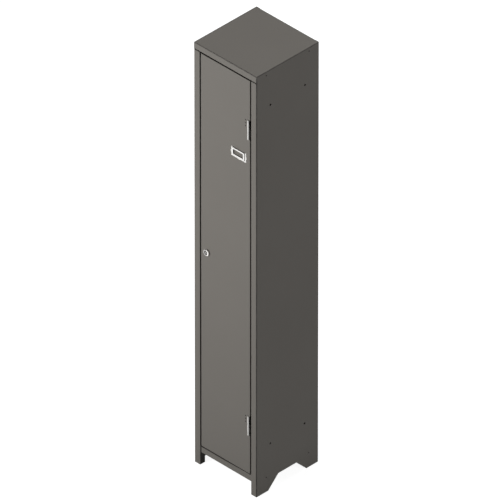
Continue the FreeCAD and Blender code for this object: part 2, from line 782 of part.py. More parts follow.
def frame_leaf(label, centre):
    """The leaf on the right stop lip, whose knuckle is the hinge's lower half."""
    body = new_body(label)
    low, high = centre - hinge_half, centre - knuckle_gap
    pad(body, "XY", [(hinge_x, hinge_y, c.barrel_radius)], low, high)
    angle = (
        (frame_leaf_left - c.leaf_gauge, hinge_y),
        (frame_leaf_left, hinge_y),
        (frame_leaf_left, stop_face - c.leaf_gauge),
        (frame_leaf_right, stop_face - c.leaf_gauge),
        (frame_leaf_right, stop_face),
        (frame_leaf_left - c.leaf_gauge, stop_face),
    )
    pad(body, "XY", [angle], low, high)
    round_edges(body, (("Z", frame_leaf_left - c.leaf_gauge, stop_face),), c.leaf_gauge)
    bore(body, centre)
    holes = [(frame_rivet_x, z, rivet_hole / 2) for z in frame_rivet_heights(centre)]
    pocket(body, "XZ", holes, stop_face - c.leaf_gauge - c.cut_margin, stop_face + c.cut_margin)
    finish(body, label)


def hinge_pin(label, centre):
    """The pin, as long as the two knuckles and the washer."""
    body = new_body(label)
    low, high = centre - hinge_half, centre + hinge_half
    pad(body, "XY", [(hinge_x, hinge_y, c.pin_radius)], low, high)
    finish(body, label)


hinge_centres = (upper_hinge_z, lower_hinge_z)
for name, centre in zip(("upper", "lower"), hinge_centres):
    door_leaf(f"{name}_hinge_door_leaf", centre)
    frame_leaf(f"{name}_hinge_frame_leaf", centre)
    hinge_pin(f"{name}_hinge_pin", centre)

washer = new_body("hinge_washer")
pad(washer, "XY", [(ZERO, ZERO, c.barrel_radius)], ZERO, c.hinge_washer)
pocket(washer, "XY", [(ZERO, ZERO, bore_radius)], -c.cut_margin, c.hinge_washer + c.cut_margin)
washer_places = [(hinge_x, hinge_y, z - c.hinge_washer / 2) for z in hinge_centres]
add_group("hinge_washers", washer, washer_places, [UPWARD] * len(washer_places))

leaf_rivet = sheet_rivet("hinge_door_rivet", leaf_back)
leaf_rivet_places = [
    (leaf_rivet_x, ZERO, z) for centre in hinge_centres for z in leaf_rivet_heights(centre)
]
add_group("hinge_door_rivets", leaf_rivet, leaf_rivet_places, [BACKWARD] * len(leaf_rivet_places))
frame_rivet = sheet_rivet("hinge_frame_rivet", c.gauge + c.leaf_gauge)
frame_rivet_places = [
    (frame_rivet_x, c.stile_return, z) for centre in hinge_centres for z in frame_rivet_heights(centre)
]
add_group("hinge_frame_rivets", frame_rivet, frame_rivet_places, [FORWARD] * len(frame_rivet_places))

# Door: a pan with lips on its long edges, notched for the hinges

door = new_body("door_panel")
door_inner_left, door_inner_right = door_left + c.door_gauge, door_right - c.door_gauge
lip_front = c.door_depth - c.door_gauge
door_profile = (
    (door_left + c.door_lip, c.door_depth),
    (door_left, c.door_depth),
    (door_left, ZERO),
    (door_right, ZERO),
    (door_right, c.door_depth),
    (door_right - c.door_lip, c.door_depth),
    (door_right - c.door_lip, lip_front),
    (door_inner_right, lip_front),
    (door_inner_right, c.door_gauge),
    (door_inner_left, c.door_gauge),
    (door_inner_left, lip_front),
    (door_left + c.door_lip, lip_front),
)
pad(door, "XY", [door_profile], door_bottom, door_top)
end_plan = box_outline(door_inner_left, door_inner_right, c.door_gauge, c.door_depth)
pad(door, "XY", [end_plan], door_bottom, door_bottom + c.door_gauge)
pad(door, "XY", [end_plan], door_top - c.door_gauge, door_top)
face_edges = (
    ("Z", door_left, ZERO),
    ("Z", door_right, ZERO),
    ("X", ZERO, door_bottom),
    ("X", ZERO, door_top),
)
round_edges(door, face_edges, door_bend)
round_edges(door, (("Z", door_left, c.door_depth), ("Z", door_right, c.door_depth)), door_bend)
notch_left = hinge_x - c.barrel_radius - c.notch_side_gap
notches = [
    box_outline(
        notch_left,
        door_right + c.cut_margin,
        centre - hinge_half - c.notch_below,
        centre + hinge_half + c.notch_above,
    )
    for centre in hinge_centres
]
pocket(door, "XZ", notches, -c.cut_margin, c.door_depth + c.cut_margin)
label_left, label_right = label_x - c.label_width / 2, label_x + c.label_width / 2
label_bottom, label_top = label_z - c.label_height / 2, label_z + c.label_height / 2
label_rivet_points = (
    (label_left - c.label_ear + c.label_rivet_edge, label_z),
    (label_right + c.label_ear - c.label_rivet_edge, label_z),
    (label_x, label_bottom - c.label_tab + c.label_rivet_edge),
)
door_holes = [(x, z, label_hole / 2) for x, z in label_rivet_points]
for centre in hinge_centres:
    door_holes += [(leaf_rivet_x, z, rivet_hole / 2) for z in leaf_rivet_heights(centre)]
door_holes.append((lock_x, lock_z, c.lock_barrel_radius + c.lock_hole_gap))
pocket(door, "XZ", door_holes, -c.cut_margin, c.door_gauge + c.cut_margin)
finish(door, "door_panel")

stiffener = new_body("door_stiffener")
crown_left = c.width / 2 - c.stiffener_width / 2
crown_right = c.width / 2 + c.stiffener_width / 2
crown_back = c.door_gauge + c.stiffener_depth
foot_back = c.door_gauge * 2
hat_section = (
    (crown_left - c.stiffener_foot, c.door_gauge),
    (crown_left + c.door_gauge, c.door_gauge),
    (crown_left + c.door_gauge, crown_back - c.door_gauge),
    (crown_right - c.door_gauge, crown_back - c.door_gauge),
    (crown_right - c.door_gauge, c.door_gauge),
    (crown_right + c.stiffener_foot, c.door_gauge),
    (crown_right + c.stiffener_foot, foot_back),
    (crown_right, foot_back),
    (crown_right, crown_back),
    (crown_left, crown_back),
    (crown_left, foot_back),
    (crown_left - c.stiffener_foot, foot_back),
)
pad(stiffener, "XY", [hat_section], door_bottom + c.stiffener_margin, door_top - c.stiffener_margin)
round_edges(stiffener, (("Z", crown_left, crown_back), ("Z", crown_right, crown_back)), door_bend)
finish(stiffener, "door_stiffener")

# Label holder: a flange with ears on three sides, and a raised frame that is open at the top

label = new_body("label_holder")
raised_left, raised_right = label_left + c.label_flange, label_right - c.label_flange
raised_bottom = label_bottom + c.label_flange
ear_half = c.label_ear_height / 2
flange_outline = (
    (label_left, label_bottom),
    (label_x - ear_half, label_bottom),
    (label_x - ear_half, label_bottom - c.label_tab),
    (label_x + ear_half, label_bottom - c.label_tab),
    (label_x + ear_half, label_bottom),
    (label_right, label_bottom),
    (label_right, label_z - ear_half),
    (label_right + c.label_ear, label_z - ear_half),
    (label_right + c.label_ear, label_z + ear_half),
    (label_right, label_z + ear_half),
    (label_right, label_top),
    (label_left, label_top),
    (label_left, label_z + ear_half),
    (label_left - c.label_ear, label_z + ear_half),
    (label_left - c.label_ear, label_z - ear_half),
    (label_left, label_z - ear_half),
)
pad(label, "XZ", [flange_outline], -c.label_gauge, ZERO)
ear_ends = (label_left - c.label_ear, label_right + c.label_ear)
ear_corners = [("Y", x, z) for x in ear_ends for z in (label_z - ear_half, label_z + ear_half)]
ear_corners += [("Y", x, label_bottom - c.label_tab) for x in (label_x - ear_half, label_x + ear_half)]
round_edges(label, ear_corners, c.label_tab * DOME_SHARE)
raised_outline = box_outline(raised_left, raised_right, raised_bottom, label_top)
pad(label, "XZ", [raised_outline], -c.label_raise, ZERO)
raised_rim = (
    ("Z", raised_left, -c.label_raise),
    ("Z", raised_right, -c.label_raise),
    ("X", -c.label_raise, raised_bottom),
)
round_edges(label, raised_rim, c.label_gauge)
card_room = box_outline(
    raised_left + c.label_gauge,
    raised_right - c.label_gauge,
    raised_bottom + c.label_gauge,
    label_top + c.cut_margin,
)
pocket(label, "XZ", [card_room], c.label_gauge - c.label_raise, c.cut_margin)
window = box_outline(
    raised_left + c.label_border,
    raised_right - c.label_border,
    raised_bottom + c.label_border,
    label_top - c.label_border,
)
pocket(label, "XZ", [window], -c.label_raise - c.cut_margin, c.cut_margin)
label_holes = [(x, z, label_hole / 2) for x, z in label_rivet_points]
pocket(label, "XZ", label_holes, -c.label_gauge - c.cut_margin, c.cut_margin)
finish(label, "label_holder")

label_rivet = rivet_prototype(
    "label_holder_rivet",
    -c.door_gauge - c.label_gauge,
    ZERO,
    c.label_rivet_radius,
    c.label_rivet_head,
    c.label_rivet_cap,
)
label_rivet_places = [(x, -c.label_gauge, z) for x, z in label_rivet_points]
add_group("label_holder_rivets", label_rivet, label_rivet_places, [FORWARD] * len(label_rivet_places))

# Cam lock: a threaded housing through the door with a nut behind, and the plug that turns the cam

housing = new_body("lock_housing")
cam_front = c.stile_return + c.cam_clearance
barrel_end = cam_front - c.plug_end_play
recess_floor = c.bezel_recess_depth - c.bezel_height
pad(housing, "XZ", [(lock_x, lock_z, c.bezel_radius)], -c.bezel_height, ZERO)
round_rims(housing, "Y", -c.bezel_height, c.bezel_radius, c.bezel_bevel)
pad(housing, "XZ", [(lock_x, lock_z, c.lock_barrel_radius)], ZERO, barrel_end)
recess = (lock_x, lock_z, c.bezel_recess_radius)
pocket(housing, "XZ", [recess], -c.bezel_height - c.cut_margin, recess_floor)
plug_bore = (lock_x, lock_z, c.plug_radius + c.plug_gap)
pocket(housing, "XZ", [plug_bore], -c.bezel_height - c.cut_margin, barrel_end + c.cut_margin)
finish(housing, "lock_housing")

nut = new_body("lock_nut")
corner_radius = c.lock_nut_flats / (2 * math.cos(math.pi / NUT_SIDES))
hexagon = [
    (
        lock_x + corner_radius * math.cos(2 * math.pi * corner / NUT_SIDES),
        lock_z + corner_radius * math.sin(2 * math.pi * corner / NUT_SIDES),
    )
    for corner in range(NUT_SIDES)
]
nut_back = c.door_gauge + c.lock_nut_height
pad(nut, "XZ", [hexagon], c.door_gauge, nut_back)
nut_hole = (lock_x, lock_z, c.lock_barrel_radius + c.lock_hole_gap)
pocket(nut, "XZ", [nut_hole], c.door_gauge - c.cut_margin, nut_back + c.cut_margin)
finish(nut, "lock_nut")

plug = new_body("lock_plug")
head_back = recess_floor - c.plug_end_play
head_front = head_back - c.plug_head_height
boss_front = head_front - c.plug_boss_height
cam_back = cam_front + c.cam_gauge
half_drive = c.drive_square / 2
pad(plug, "XZ", [(lock_x, lock_z, c.plug_radius)], head_front, cam_front)
pad(plug, "XZ", [(lock_x, lock_z, c.plug_head_radius)], head_front, head_back)
pad(plug, "XZ", [(lock_x, lock_z, c.plug_boss_radius)], boss_front, head_front)
drive = box_outline(lock_x - half_drive, lock_x + half_drive, lock_z - half_drive, lock_z + half_drive)
pad(plug, "XZ", [drive], cam_front, cam_back - c.plug_end_play)
keyway = box_outline(
    lock_x - c.keyway_width / 2,
    lock_x + c.keyway_width / 2,
    lock_z - c.keyway_height / 2,
    lock_z + c.keyway_height / 2,
)
pocket(plug, "XZ", [keyway], boss_front - c.cut_margin, boss_front + c.keyway_depth)
screw_hole = (lock_x, lock_z, c.cam_screw_radius + c.plug_gap)
screw_tip = cam_back + c.cam_washer_gauge - c.cam_screw_length
pocket(plug, "XZ", [screw_hole], screw_tip - c.plug_end_play, cam_back + c.cut_margin)
finish(plug, "lock_plug")

cam = new_body("lock_cam")
cam_reach = lock_x - lip_end + c.cam_overlap
cam_left, cam_right = lock_x - c.cam_width / 2, lock_x + c.cam_width / 2
cam_tip = lock_z - cam_reach
pad(cam, "XZ", [box_outline(cam_left, cam_right, cam_tip, lock_z)], cam_front, cam_back)
pad(cam, "XZ", [(lock_x, lock_z, c.cam_width / 2)], cam_front, cam_back)
round_edges(cam, (("Y", cam_left, cam_tip), ("Y", cam_right, cam_tip)), c.cam_tip_round)
half_hole = half_drive + c.lock_hole_gap
drive_hole = box_outline(lock_x - half_hole, lock_x + half_hole, lock_z - half_hole, lock_z + half_hole)
pocket(cam, "XZ", [drive_hole], cam_front - c.cut_margin, cam_back + c.cut_margin)
finish(cam, "lock_cam")

cam_washer = new_body("cam_washer")
washer_back = cam_back + c.cam_washer_gauge
pad(cam_washer, "XZ", [(lock_x, lock_z, c.cam_washer_radius)], cam_back, washer_back)
pocket(cam_washer, "XZ", [screw_hole], cam_back - c.cut_margin, washer_back + c.cut_margin)
finish(cam_washer, "cam_washer")

cam_screw = new_body("cam_screw")
screw_back = washer_back + c.cam_screw_head_height
pad(cam_screw, "XZ", [(lock_x, lock_z, c.cam_screw_head_radius)], washer_back, screw_back)
round_rims(cam_screw, "Y", screw_back, c.cam_screw_head_radius, c.cam_screw_head_height / 2)
pad(cam_screw, "XZ", [(lock_x, lock_z, c.cam_screw_radius)], screw_tip, washer_back)
slot = box_outline(
    lock_x - c.cam_screw_head_radius,
    lock_x + c.cam_screw_head_radius,
    lock_z - c.cam_screw_slot / 2,
    lock_z + c.cam_screw_slot / 2,
)
pocket(cam_screw, "XZ", [slot], screw_back - c.cam_screw_slot, screw_back + c.cut_margin)
finish(cam_screw, "cam_screw")

# Every feature and every finished piece is sound before anything is written

doc.recompute()
faults = [item.Name for item in doc.Objects if {"Invalid", "Error"} & set(item.State)]
faults += [node.Label for node in nodes if node.Shape.isNull() or not node.Shape.isValid()]
faults += [body.Name for body, removed in pockets if removed <= 0]
if faults:
    raise RuntimeError(f"These did not build: {sorted(set(faults))}")
os.makedirs("parts", exist_ok=True)
for node in nodes:
    node.Shape.exportStep(f"parts/{node.Label}.step")
print(len(nodes), "pieces written")
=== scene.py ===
"""A single steel locker: its finishes, its small hardware and the studio that it stands in."""

from __future__ import annotations

import json
import logging
import math
from dataclasses import dataclass
from enum import Enum
from typing import Iterator, Mapping, Sequence

import bmesh
import bpy
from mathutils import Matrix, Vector

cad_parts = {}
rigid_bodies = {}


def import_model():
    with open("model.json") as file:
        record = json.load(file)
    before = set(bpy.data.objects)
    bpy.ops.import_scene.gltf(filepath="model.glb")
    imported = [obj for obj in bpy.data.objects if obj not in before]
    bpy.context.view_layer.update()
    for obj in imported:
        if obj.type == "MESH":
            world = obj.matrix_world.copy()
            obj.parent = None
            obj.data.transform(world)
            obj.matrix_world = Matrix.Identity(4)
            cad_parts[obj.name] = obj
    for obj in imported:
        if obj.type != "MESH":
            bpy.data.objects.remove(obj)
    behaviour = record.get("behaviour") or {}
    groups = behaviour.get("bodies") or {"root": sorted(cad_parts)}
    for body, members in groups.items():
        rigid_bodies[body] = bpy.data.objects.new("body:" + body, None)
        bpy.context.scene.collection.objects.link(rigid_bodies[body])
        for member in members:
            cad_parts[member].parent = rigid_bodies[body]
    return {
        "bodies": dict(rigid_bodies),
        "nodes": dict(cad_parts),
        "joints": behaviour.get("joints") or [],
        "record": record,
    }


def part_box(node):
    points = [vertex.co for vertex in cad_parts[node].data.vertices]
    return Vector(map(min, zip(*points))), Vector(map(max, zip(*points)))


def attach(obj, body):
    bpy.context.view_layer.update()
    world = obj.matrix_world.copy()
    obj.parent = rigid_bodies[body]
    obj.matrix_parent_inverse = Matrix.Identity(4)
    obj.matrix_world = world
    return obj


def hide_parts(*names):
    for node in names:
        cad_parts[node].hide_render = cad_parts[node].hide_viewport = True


LOG = logging.getLogger("single_locker")
MM = 0.001
WELD = 0.002 * MM
CREASE = math.radians(35.0)

Colour = tuple[float, float, float]
Place = tuple[float, float, float]
Point = tuple[float, float]
Span = tuple[float, float]
Box = tuple[Vector, Vector]


class Value:
    """A socket's value, which takes part in arithmetic."""

    def __init__(self, tree: Tree, socket: bpy.types.NodeSocket) -> None:
        """Hold a socket and the tree it is in."""
        self.tree = tree
        self.socket = socket

    def maths(self, operation: str, *terms: Value | float) -> Value:
        """The result of a Math node.

        Args:
            operation: The node's operation.
            terms: Its inputs in order.

        Returns:
            The node's output.
        """
        return self.tree.value("ShaderNodeMath", {"operation": operation}, dict(enumerate(terms)))

    def __add__(self, other: Value | float) -> Value:
        """This value plus another."""
        return self.maths("ADD", self, other)

    def __radd__(self, other: float) -> Value:
        """A number plus this value."""
        return self.maths("ADD", other, self)

    def __sub__(self, other: Value | float) -> Value:
        """This value minus another."""
        return self.maths("SUBTRACT", self, other)

    def __rsub__(self, other: float) -> Value:
        """A number minus this value."""
        return self.maths("SUBTRACT", other, self)

    def __mul__(self, other: Value | float) -> Value:
        """This value times another."""
        return self.maths("MULTIPLY", self, other)

    def __rmul__(self, other: float) -> Value:
        """A number times this value."""
        return self.maths("MULTIPLY", other, self)

    def __truediv__(self, other: Value | float) -> Value:
        """This value divided by another."""
        return self.maths("DIVIDE", self, other)

    def __mod__(self, other: Value | float) -> Value:
        """What is left of this value after division."""
        return self.maths("FLOORED_MODULO", self, other)

    def __lt__(self, other: Value | float) -> Value:
        """One where this value is less, else zero."""
        return self.maths("LESS_THAN", self, other)

    def __abs__(self) -> Value:
        """This value without its sign."""
        return self.maths("ABSOLUTE", self)

    def least(self, other: Value | float) -> Value:
        """The smaller of this value and another."""
        return self.maths("MINIMUM", self, other)

    def most(self, other: Value | float) -> Value:
        """The larger of this value and another."""
        return self.maths("MAXIMUM", self, other)

    def root(self) -> Value:
        """The square root of this value."""
        return self.maths("SQRT", self)

    def floor(self) -> Value:
        """The whole number below this value."""
        return self.maths("FLOOR", self)

    def cosine(self) -> Value:
        """The cosine of this value, in radians."""
        return self.maths("COSINE", self)

    def sine(self) -> Value:
        """The sine of this value, in radians."""
        return self.maths("SINE", self)

    def ramp(self, low: float, high: float) -> Value:
        """A smooth step from 0 at one value to 1 at another."""
        limits = {"Value": self, "From Min": low, "From Max": high}
        return self.tree.value("ShaderNodeMapRange", {"interpolation_type": "SMOOTHSTEP"}, limits)

    def band(self, rise: Span, fall: Span) -> Value:
        """A smooth step up over one span of values and down again over another."""
        return self.ramp(*rise) * (1.0 - self.ramp(*fall))


class Tree:
    """A node tree that grows one node at a time."""

    def __init__(self, tree: bpy.types.NodeTree) -> None:
        """Start with an empty tree."""
        self.tree = tree
        tree.nodes.clear()

    def node(
        self,
        kind: str,
        settings: Mapping[str, object] | None = None,
        inputs: Mapping[str | int, object] | None = None,
    ) -> bpy.types.Node:
        """Add a node.

        Args:
            kind: The node's type.
            settings: Its own settings, set first.
            inputs: A value or a link for each socket, by name or number.

        Returns:
            The node.
        """
        made = self.tree.nodes.new(kind)
        for name, setting in (settings or {}).items():
            setattr(made, name, setting)
        for name, source in (inputs or {}).items():
            self.feed(self.pick(made.inputs, name), source)
        return made

    def value(
        self,
        kind: str,
        settings: Mapping[str, object] | None = None,
        inputs: Mapping[str | int, object] | None = None,
        output: str | int = 0,
    ) -> Value:
        """Add a node and take one of its outputs.

        Args:
            kind: The node's type.
            settings: Its own settings.
            inputs: Its sockets' values or links.
            output: The output's name, or its number among those in use.

        Returns:
            The output.
        """
        made = self.node(kind, settings, inputs)
        if isinstance(output, int):
            return Value(self, [socket for socket in made.outputs if socket.enabled][output])
        return Value(self, self.pick(made.outputs, output))

    def feed(self, socket: bpy.types.NodeSocket, source: object) -> None:
        """Link a value to a socket, or set the socket.

        Args:
            socket: The socket.
            source: A value to link, or a plain setting.
        """
        if isinstance(source, Value):
            self.tree.links.new(source.socket, socket)
        else:
            socket.default_value = source

    @staticmethod
    def pick(sockets: bpy.types.bpy_prop_collection, key: str | int) -> bpy.types.NodeSocket:
        """One socket by its number, or the one in use that has a name.

        Args:
            sockets: A node's inputs or outputs.
            key: The number or the name.

        Returns:
            The socket.
        """
        if isinstance(key, int):
            return sockets[key]
        return next(socket for socket in sockets if socket.enabled and socket.name == key)


class FinishTree(Tree):
    """The nodes of one finish, around a Principled shader."""

    def __init__(self, name: str) -> None:
        """Start a material with its shader and Object coordinates.

        Args:
            name: The material's name.
        """
        self.material = bpy.data.materials.new(name)
        self.material.use_nodes = True
        super().__init__(self.material.node_tree)
        self.shader = self.node("ShaderNodeBsdfPrincipled")
        surface = Value(self, self.shader.outputs[0])
        self.node("ShaderNodeOutputMaterial", None, {"Surface": surface})
        self.place = self.value("ShaderNodeTexCoord", output="Object")

    def coordinate(self, axis: str) -> Value:
        """One coordinate of the surface, in metres."""
        return self.value("ShaderNodeSeparateXYZ", None, {"Vector": self.place}, output=axis)

    def noise(self, grain: float, detail: float = 2.0, stretch: Place = (1.0, 1.0, 1.0)) -> Value:
        """Soft noise from 0 to 1.

        Args:
            grain: About the size of a grain, in metres.
            detail: How many finer layers it has.
            stretch: How much closer the grains lie along X, Y and Z.

        Returns:
            The noise.
        """
        place = self.value("ShaderNodeMapping", None, {"Vector": self.place, "Scale": stretch})
        inputs = {"Vector": place, "Scale": 1.0 / grain, "Detail": detail}
        return self.value("ShaderNodeTexNoise", None, inputs)

    def cells(self, grain: float) -> Value:
        """A random value for each cell of a pattern.

        Args:
            grain: About the size of a cell, in metres.

        Returns:
            A value from 0 to 1, even over each cell.
        """
        inputs = {"Vector": self.place, "Scale": 1.0 / grain}
        colour = self.value("ShaderNodeTexVoronoi", None, inputs, output="Color")
        return self.value("ShaderNodeSeparateColor", None, {"Color": colour}, output="Red")

    def mix(self, share: Value, first: Colour | Value, second: Colour | Value) -> Value:
        """A colour between two others."""
        inputs = {"Factor": share, "A": opaque(first), "B": opaque(second)}
        return self.value("ShaderNodeMix", {"data_type": "RGBA"}, inputs)

    def relief(self, height: Value, depth: float) -> Value:
        """A normal bent by a height from 0 to 1 over a depth in metres."""
        return self.value("ShaderNodeBump", None, {"Height": height, "Distance": depth})

    def shade(self, **inputs: object) -> bpy.types.Material:
        """Set the shader's sockets and finish the material.

        Args:
            inputs: A value or a link for each socket, named in small letters with low lines for spaces.

        Returns:
            The material.
        """
        for name, source in inputs.items():
            socket = next(item for item in self.shader.inputs if plain(item.name) == name)
            self.feed(socket, source)
        return self.material


def plain(name: str) -> str:
    """A socket's name as a plain word."""
    return name.lower().replace(" ", "_")


def opaque(colour: Colour | Value) -> object:
    """A colour with full alpha, or a link as it is."""
    return colour if isinstance(colour, Value) else (*colour, 1.0)


@dataclass(frozen=True)
class FoldWearAndShade:
    """Paint rubbed off the carcass's folds and cut edges, drawn near-black and far stronger on the right
    than the left, so that it is also painted shade along the bends.
    """

    carcass: Box
    gauge: float
    fold: float = 4.2 * MM
    full_share: float = 0.4
    fold_wear_and_shade: float = 0.95
    left_share: float = 0.12
    top_wear_and_shade: float = 0.72
    cut_wear_and_shade: float = 0.85
    cut_rise: Span = (0.1, 0.2)
    cut_fall: Span = (0.8, 0.9)

    def spread(self, tree: FinishTree) -> Value:
        """How far the paint is worn off and the bends' shade painted on.

        Args:
            tree: The finish's nodes.

        Returns:
            Zero on sound paint, up to one on near-black folds, worn and painted with shade.
        """
        low, high = self.carcass
        middle, half = (low + high) / 2, (high - low) / 2
        under_side = half.x - abs(tree.coordinate("X") - middle.x)
        under_front = half.y - abs(tree.coordinate("Y") - middle.y)
        under_top = high.z - tree.coordinate("Z")
        # The second smallest of the three distances is small only where two faces meet.
        nearer, farther = under_side.least(under_front), under_side.most(under_front)
        under_fold = nearer.most(farther.least(under_top))
        # Painted shade as well as wear: the upright fold lines darken far more on the right than on the
        # left, the top folds by a set share.
        rightward = tree.coordinate("X").ramp(low.x, high.x)
        upright = self.fold_wear_and_shade * (self.left_share + (1.0 - self.left_share) * rightward)
        topmost = 1.0 - under_top.ramp(self.fold, 2 * self.fold)
        share = upright + topmost * (self.top_wear_and_shade - upright)
        folds = share * (1.0 - under_fold.ramp(self.full_share * self.fold, self.fold))
        # The sheets' cut edges are drawn near-black too, as wear and painted shade.
        cut = (under_side / self.gauge).band(self.cut_rise, self.cut_fall)
        return folds.most(self.cut_wear_and_shade * cut)


@dataclass(frozen=True)
class DoorGapShade:
    """Painted shade in the gap round the door, in the joint under the fascia, and on the door's face
    along its top and lock-side edges.
    """

    door: Box
    gauge: float
    reach: float = 6.0 * MM
    depth: float = 25.0 * MM
    skin: Span = (2.0 * MM, 4.0 * MM)
    edge_share: float = 0.9
    # How much sooner in depth the painted shade starts near the lock side and the top.
    lockside_gain: float = 3.0
    joint_low: float = 0.5 * MM
    joint_high: float = 4.5 * MM
    joint_soft: float = 0.3 * MM
    top_lip: float = 1.5 * MM
    lock_lip: float = 2.2 * MM
    lip_core: float = 0.5

    def spread(self, tree: FinishTree) -> Value:
        """How much shade is painted on.

        Args:
            tree: The finish's nodes.

        Returns:
            Zero on open paint, up to one deep in the gap.
        """
        low, high = self.door
        middle, half = (low + high) / 2, (high - low) / 2
        across = abs(tree.coordinate("X") - middle.x) - half.x
        past_lock = low.x - tree.coordinate("X")
        above = tree.coordinate("Z") - high.z
        beyond = above.most(low.z - tree.coordinate("Z"))
        depth = tree.coordinate("Y") - low.y
        beside = self.strip(across) * self.within(above)
        outside = self.strip(beyond) * self.within(across)
        # The painted shade starts shallower near the lock side and the top.
        lockward = 1.0 - tree.coordinate("X").ramp(low.x, high.x)
        gain = 1.0 + self.lockside_gain * lockward.most(above.ramp(-self.gauge, 0.0))
        behind = (depth * gain).ramp(*self.skin)
        gap = beside.most(outside) * behind * (1.0 - depth.ramp(self.depth, self.depth + self.gauge))
        # A painted shade line in the joint under the fascia.
        joint = above.band(
            (self.joint_low, self.joint_low + self.joint_soft),
            (self.joint_high - self.joint_soft, self.joint_high),
        )
        # Painted shade on the door's face just inside its top and lock-side edges.
        lip = self.lip(above, self.top_lip).most(self.lip(past_lock, self.lock_lip))
        on_door = (across < self.gauge) * (beyond < self.gauge)
        front = 1.0 - depth.ramp(*self.skin)
        return gap.most(joint.most(lip * on_door) * front)

    def strip(self, outward: Value) -> Value:
        """One from just inside the door's edge to the far side of the gap, else zero."""
        return outward.ramp(-self.gauge, -self.edge_share * self.gauge) * self.within(outward)

    def within(self, outward: Value) -> Value:
        """One up to the far side of the gap, else zero."""
        return 1.0 - outward.ramp(self.reach, self.reach + self.gauge)

    def lip(self, outward: Value, width: float) -> Value:
        """One on the last stretch of the door's face before an edge, else zero."""
        return outward.ramp(-width, -self.lip_core * width)


@dataclass(frozen=True)
class PowderCoat:
    """Satin powder coat on sheet steel: orange peel, slow drift, dust by the floor, worn folds that also
    carry painted shade, and painted shade round the door.
    """

    wear_and_shade: FoldWearAndShade
    gap_shade: DoorGapShade
    name: str = "grey_powder_coat"
    colour: Colour = (0.178, 0.166, 0.149)
    # Near-black on folds and cut edges: rubbed paint together with painted shade.
    rubbed_and_shaded: Colour = (0.014, 0.012, 0.010)
    # Painted shade in the door's gap, the joint and the door's edges.
    gap_shade_colour: Colour = (0.030, 0.027, 0.024)
    drift: float = 0.94
    drift_grain: float = 260 * MM
    drift_haze: float = 0.08
    dusty: float = 0.90
    dust_height: float = 110 * MM
    dust_grain: float = 27.5 * MM
    dust_haze: float = 0.06
    gap_shade_haze: float = 0.25
    patch_least: float = 0.6
    patch_swing: float = 0.6
    patch_grain: float = 14 * MM
    peel_grain: float = 1.6 * MM
    peel_depth: float = 0.03 * MM
    roughness: float = 0.50
    gloss: float = 0.22

    def material(self) -> bpy.types.Material:
        """The painted finish.

        Returns:
            The material.
        """
        tree = FinishTree(self.name)
        drift = tree.noise(self.drift_grain, detail=3.0)
        peel = tree.noise(self.peel_grain, detail=1.0)
        patches = self.patch_least + self.patch_swing * tree.noise(self.patch_grain, detail=3.0)
        low = 1.0 - tree.coordinate("Z").ramp(0.0, self.dust_height)
        dust = low * tree.noise(self.dust_grain, detail=4.0)
        # Worn folds and painted shade on the bends, broken up in patches.
        wear_and_shade = (self.wear_and_shade.spread(tree) * patches).least(1.0)
        # Painted shade in the gap round the door, broken up in patches.
        gap_shade = (self.gap_shade.spread(tree) * patches).least(1.0)
        even = tree.mix(drift, self.colour, self.darker(self.drift))
        darkened = tree.mix(dust, even, self.darker(self.dusty))
        gap_shaded = tree.mix(gap_shade, darkened, self.gap_shade_colour)
        haze = self.drift_haze * drift + self.dust_haze * dust + self.gap_shade_haze * gap_shade
        return tree.shade(
            base_color=tree.mix(wear_and_shade, gap_shaded, self.rubbed_and_shaded),
            roughness=self.roughness + haze,
            specular_ior_level=self.gloss,
            normal=tree.relief(peel, self.peel_depth),
        )

    def darker(self, share: float) -> Colour:
        """The paint's colour times a share."""
        return tuple(part * share for part in self.colour)


@dataclass(frozen=True)
class PlatedSteel:
    """Plated steel with faint spangle, drawn lines and a little unevenness of gloss."""

    name: str
    colour: Colour
    second: Colour
    roughness: float
    metallic: float = 1.0
    spangle_grain: float = 2.5 * MM
    spangle_share: float = 0.6
    line_grain: float = 0.6 * MM
    line_depth: float = 0.004 * MM
    line_haze: float = 0.12
    lines: Place = (1.0, 1.0, 0.04)

    def tree(self) -> tuple[FinishTree, Value, Value, Value]:
        """The start of the finish.

        Returns:
            Its nodes, colour, roughness and normal.
        """
        tree = FinishTree(self.name)
        drawn = tree.noise(self.line_grain, stretch=self.lines)
        spangle = tree.cells(self.spangle_grain)
        tone = self.spangle_share * spangle + (1.0 - self.spangle_share) * drawn
        colour = tree.mix(tone, self.colour, self.second)
        roughness = self.roughness + self.line_haze * drawn
        return tree, colour, roughness, tree.relief(drawn, self.line_depth)

    def material(self) -> bpy.types.Material:
        """The plated finish."""
        tree, colour, roughness, normal = self.tree()
        return tree.shade(base_color=colour, metallic=self.metallic, roughness=roughness, normal=normal)


@dataclass(frozen=True)
class HalfPaintedZinc(PlatedSteel):
    """Bright zinc on a hinge's barrel, with dark paint on the leaf behind it."""

    paint: Colour = (0.130, 0.121, 0.110)
    paint_haze: float = 0.25
    edge: float = 0.0
    edge_grain: float = 3.0 * MM
    feather: float = 0.6 * MM

    def material(self) -> bpy.types.Material:
        """The plated finish, painted behind a depth.

        Returns:
            The material.
        """
        tree, colour, roughness, normal = self.tree()
        ragged = tree.coordinate("Y") + self.feather * tree.noise(self.edge_grain)
        painted = ragged.ramp(self.edge, self.edge + self.feather)
        return tree.shade(
            base_color=tree.mix(painted, colour, self.paint),
            metallic=self.metallic * (1.0 - painted),
            roughness=roughness + self.paint_haze * painted,
            normal=normal,
        )


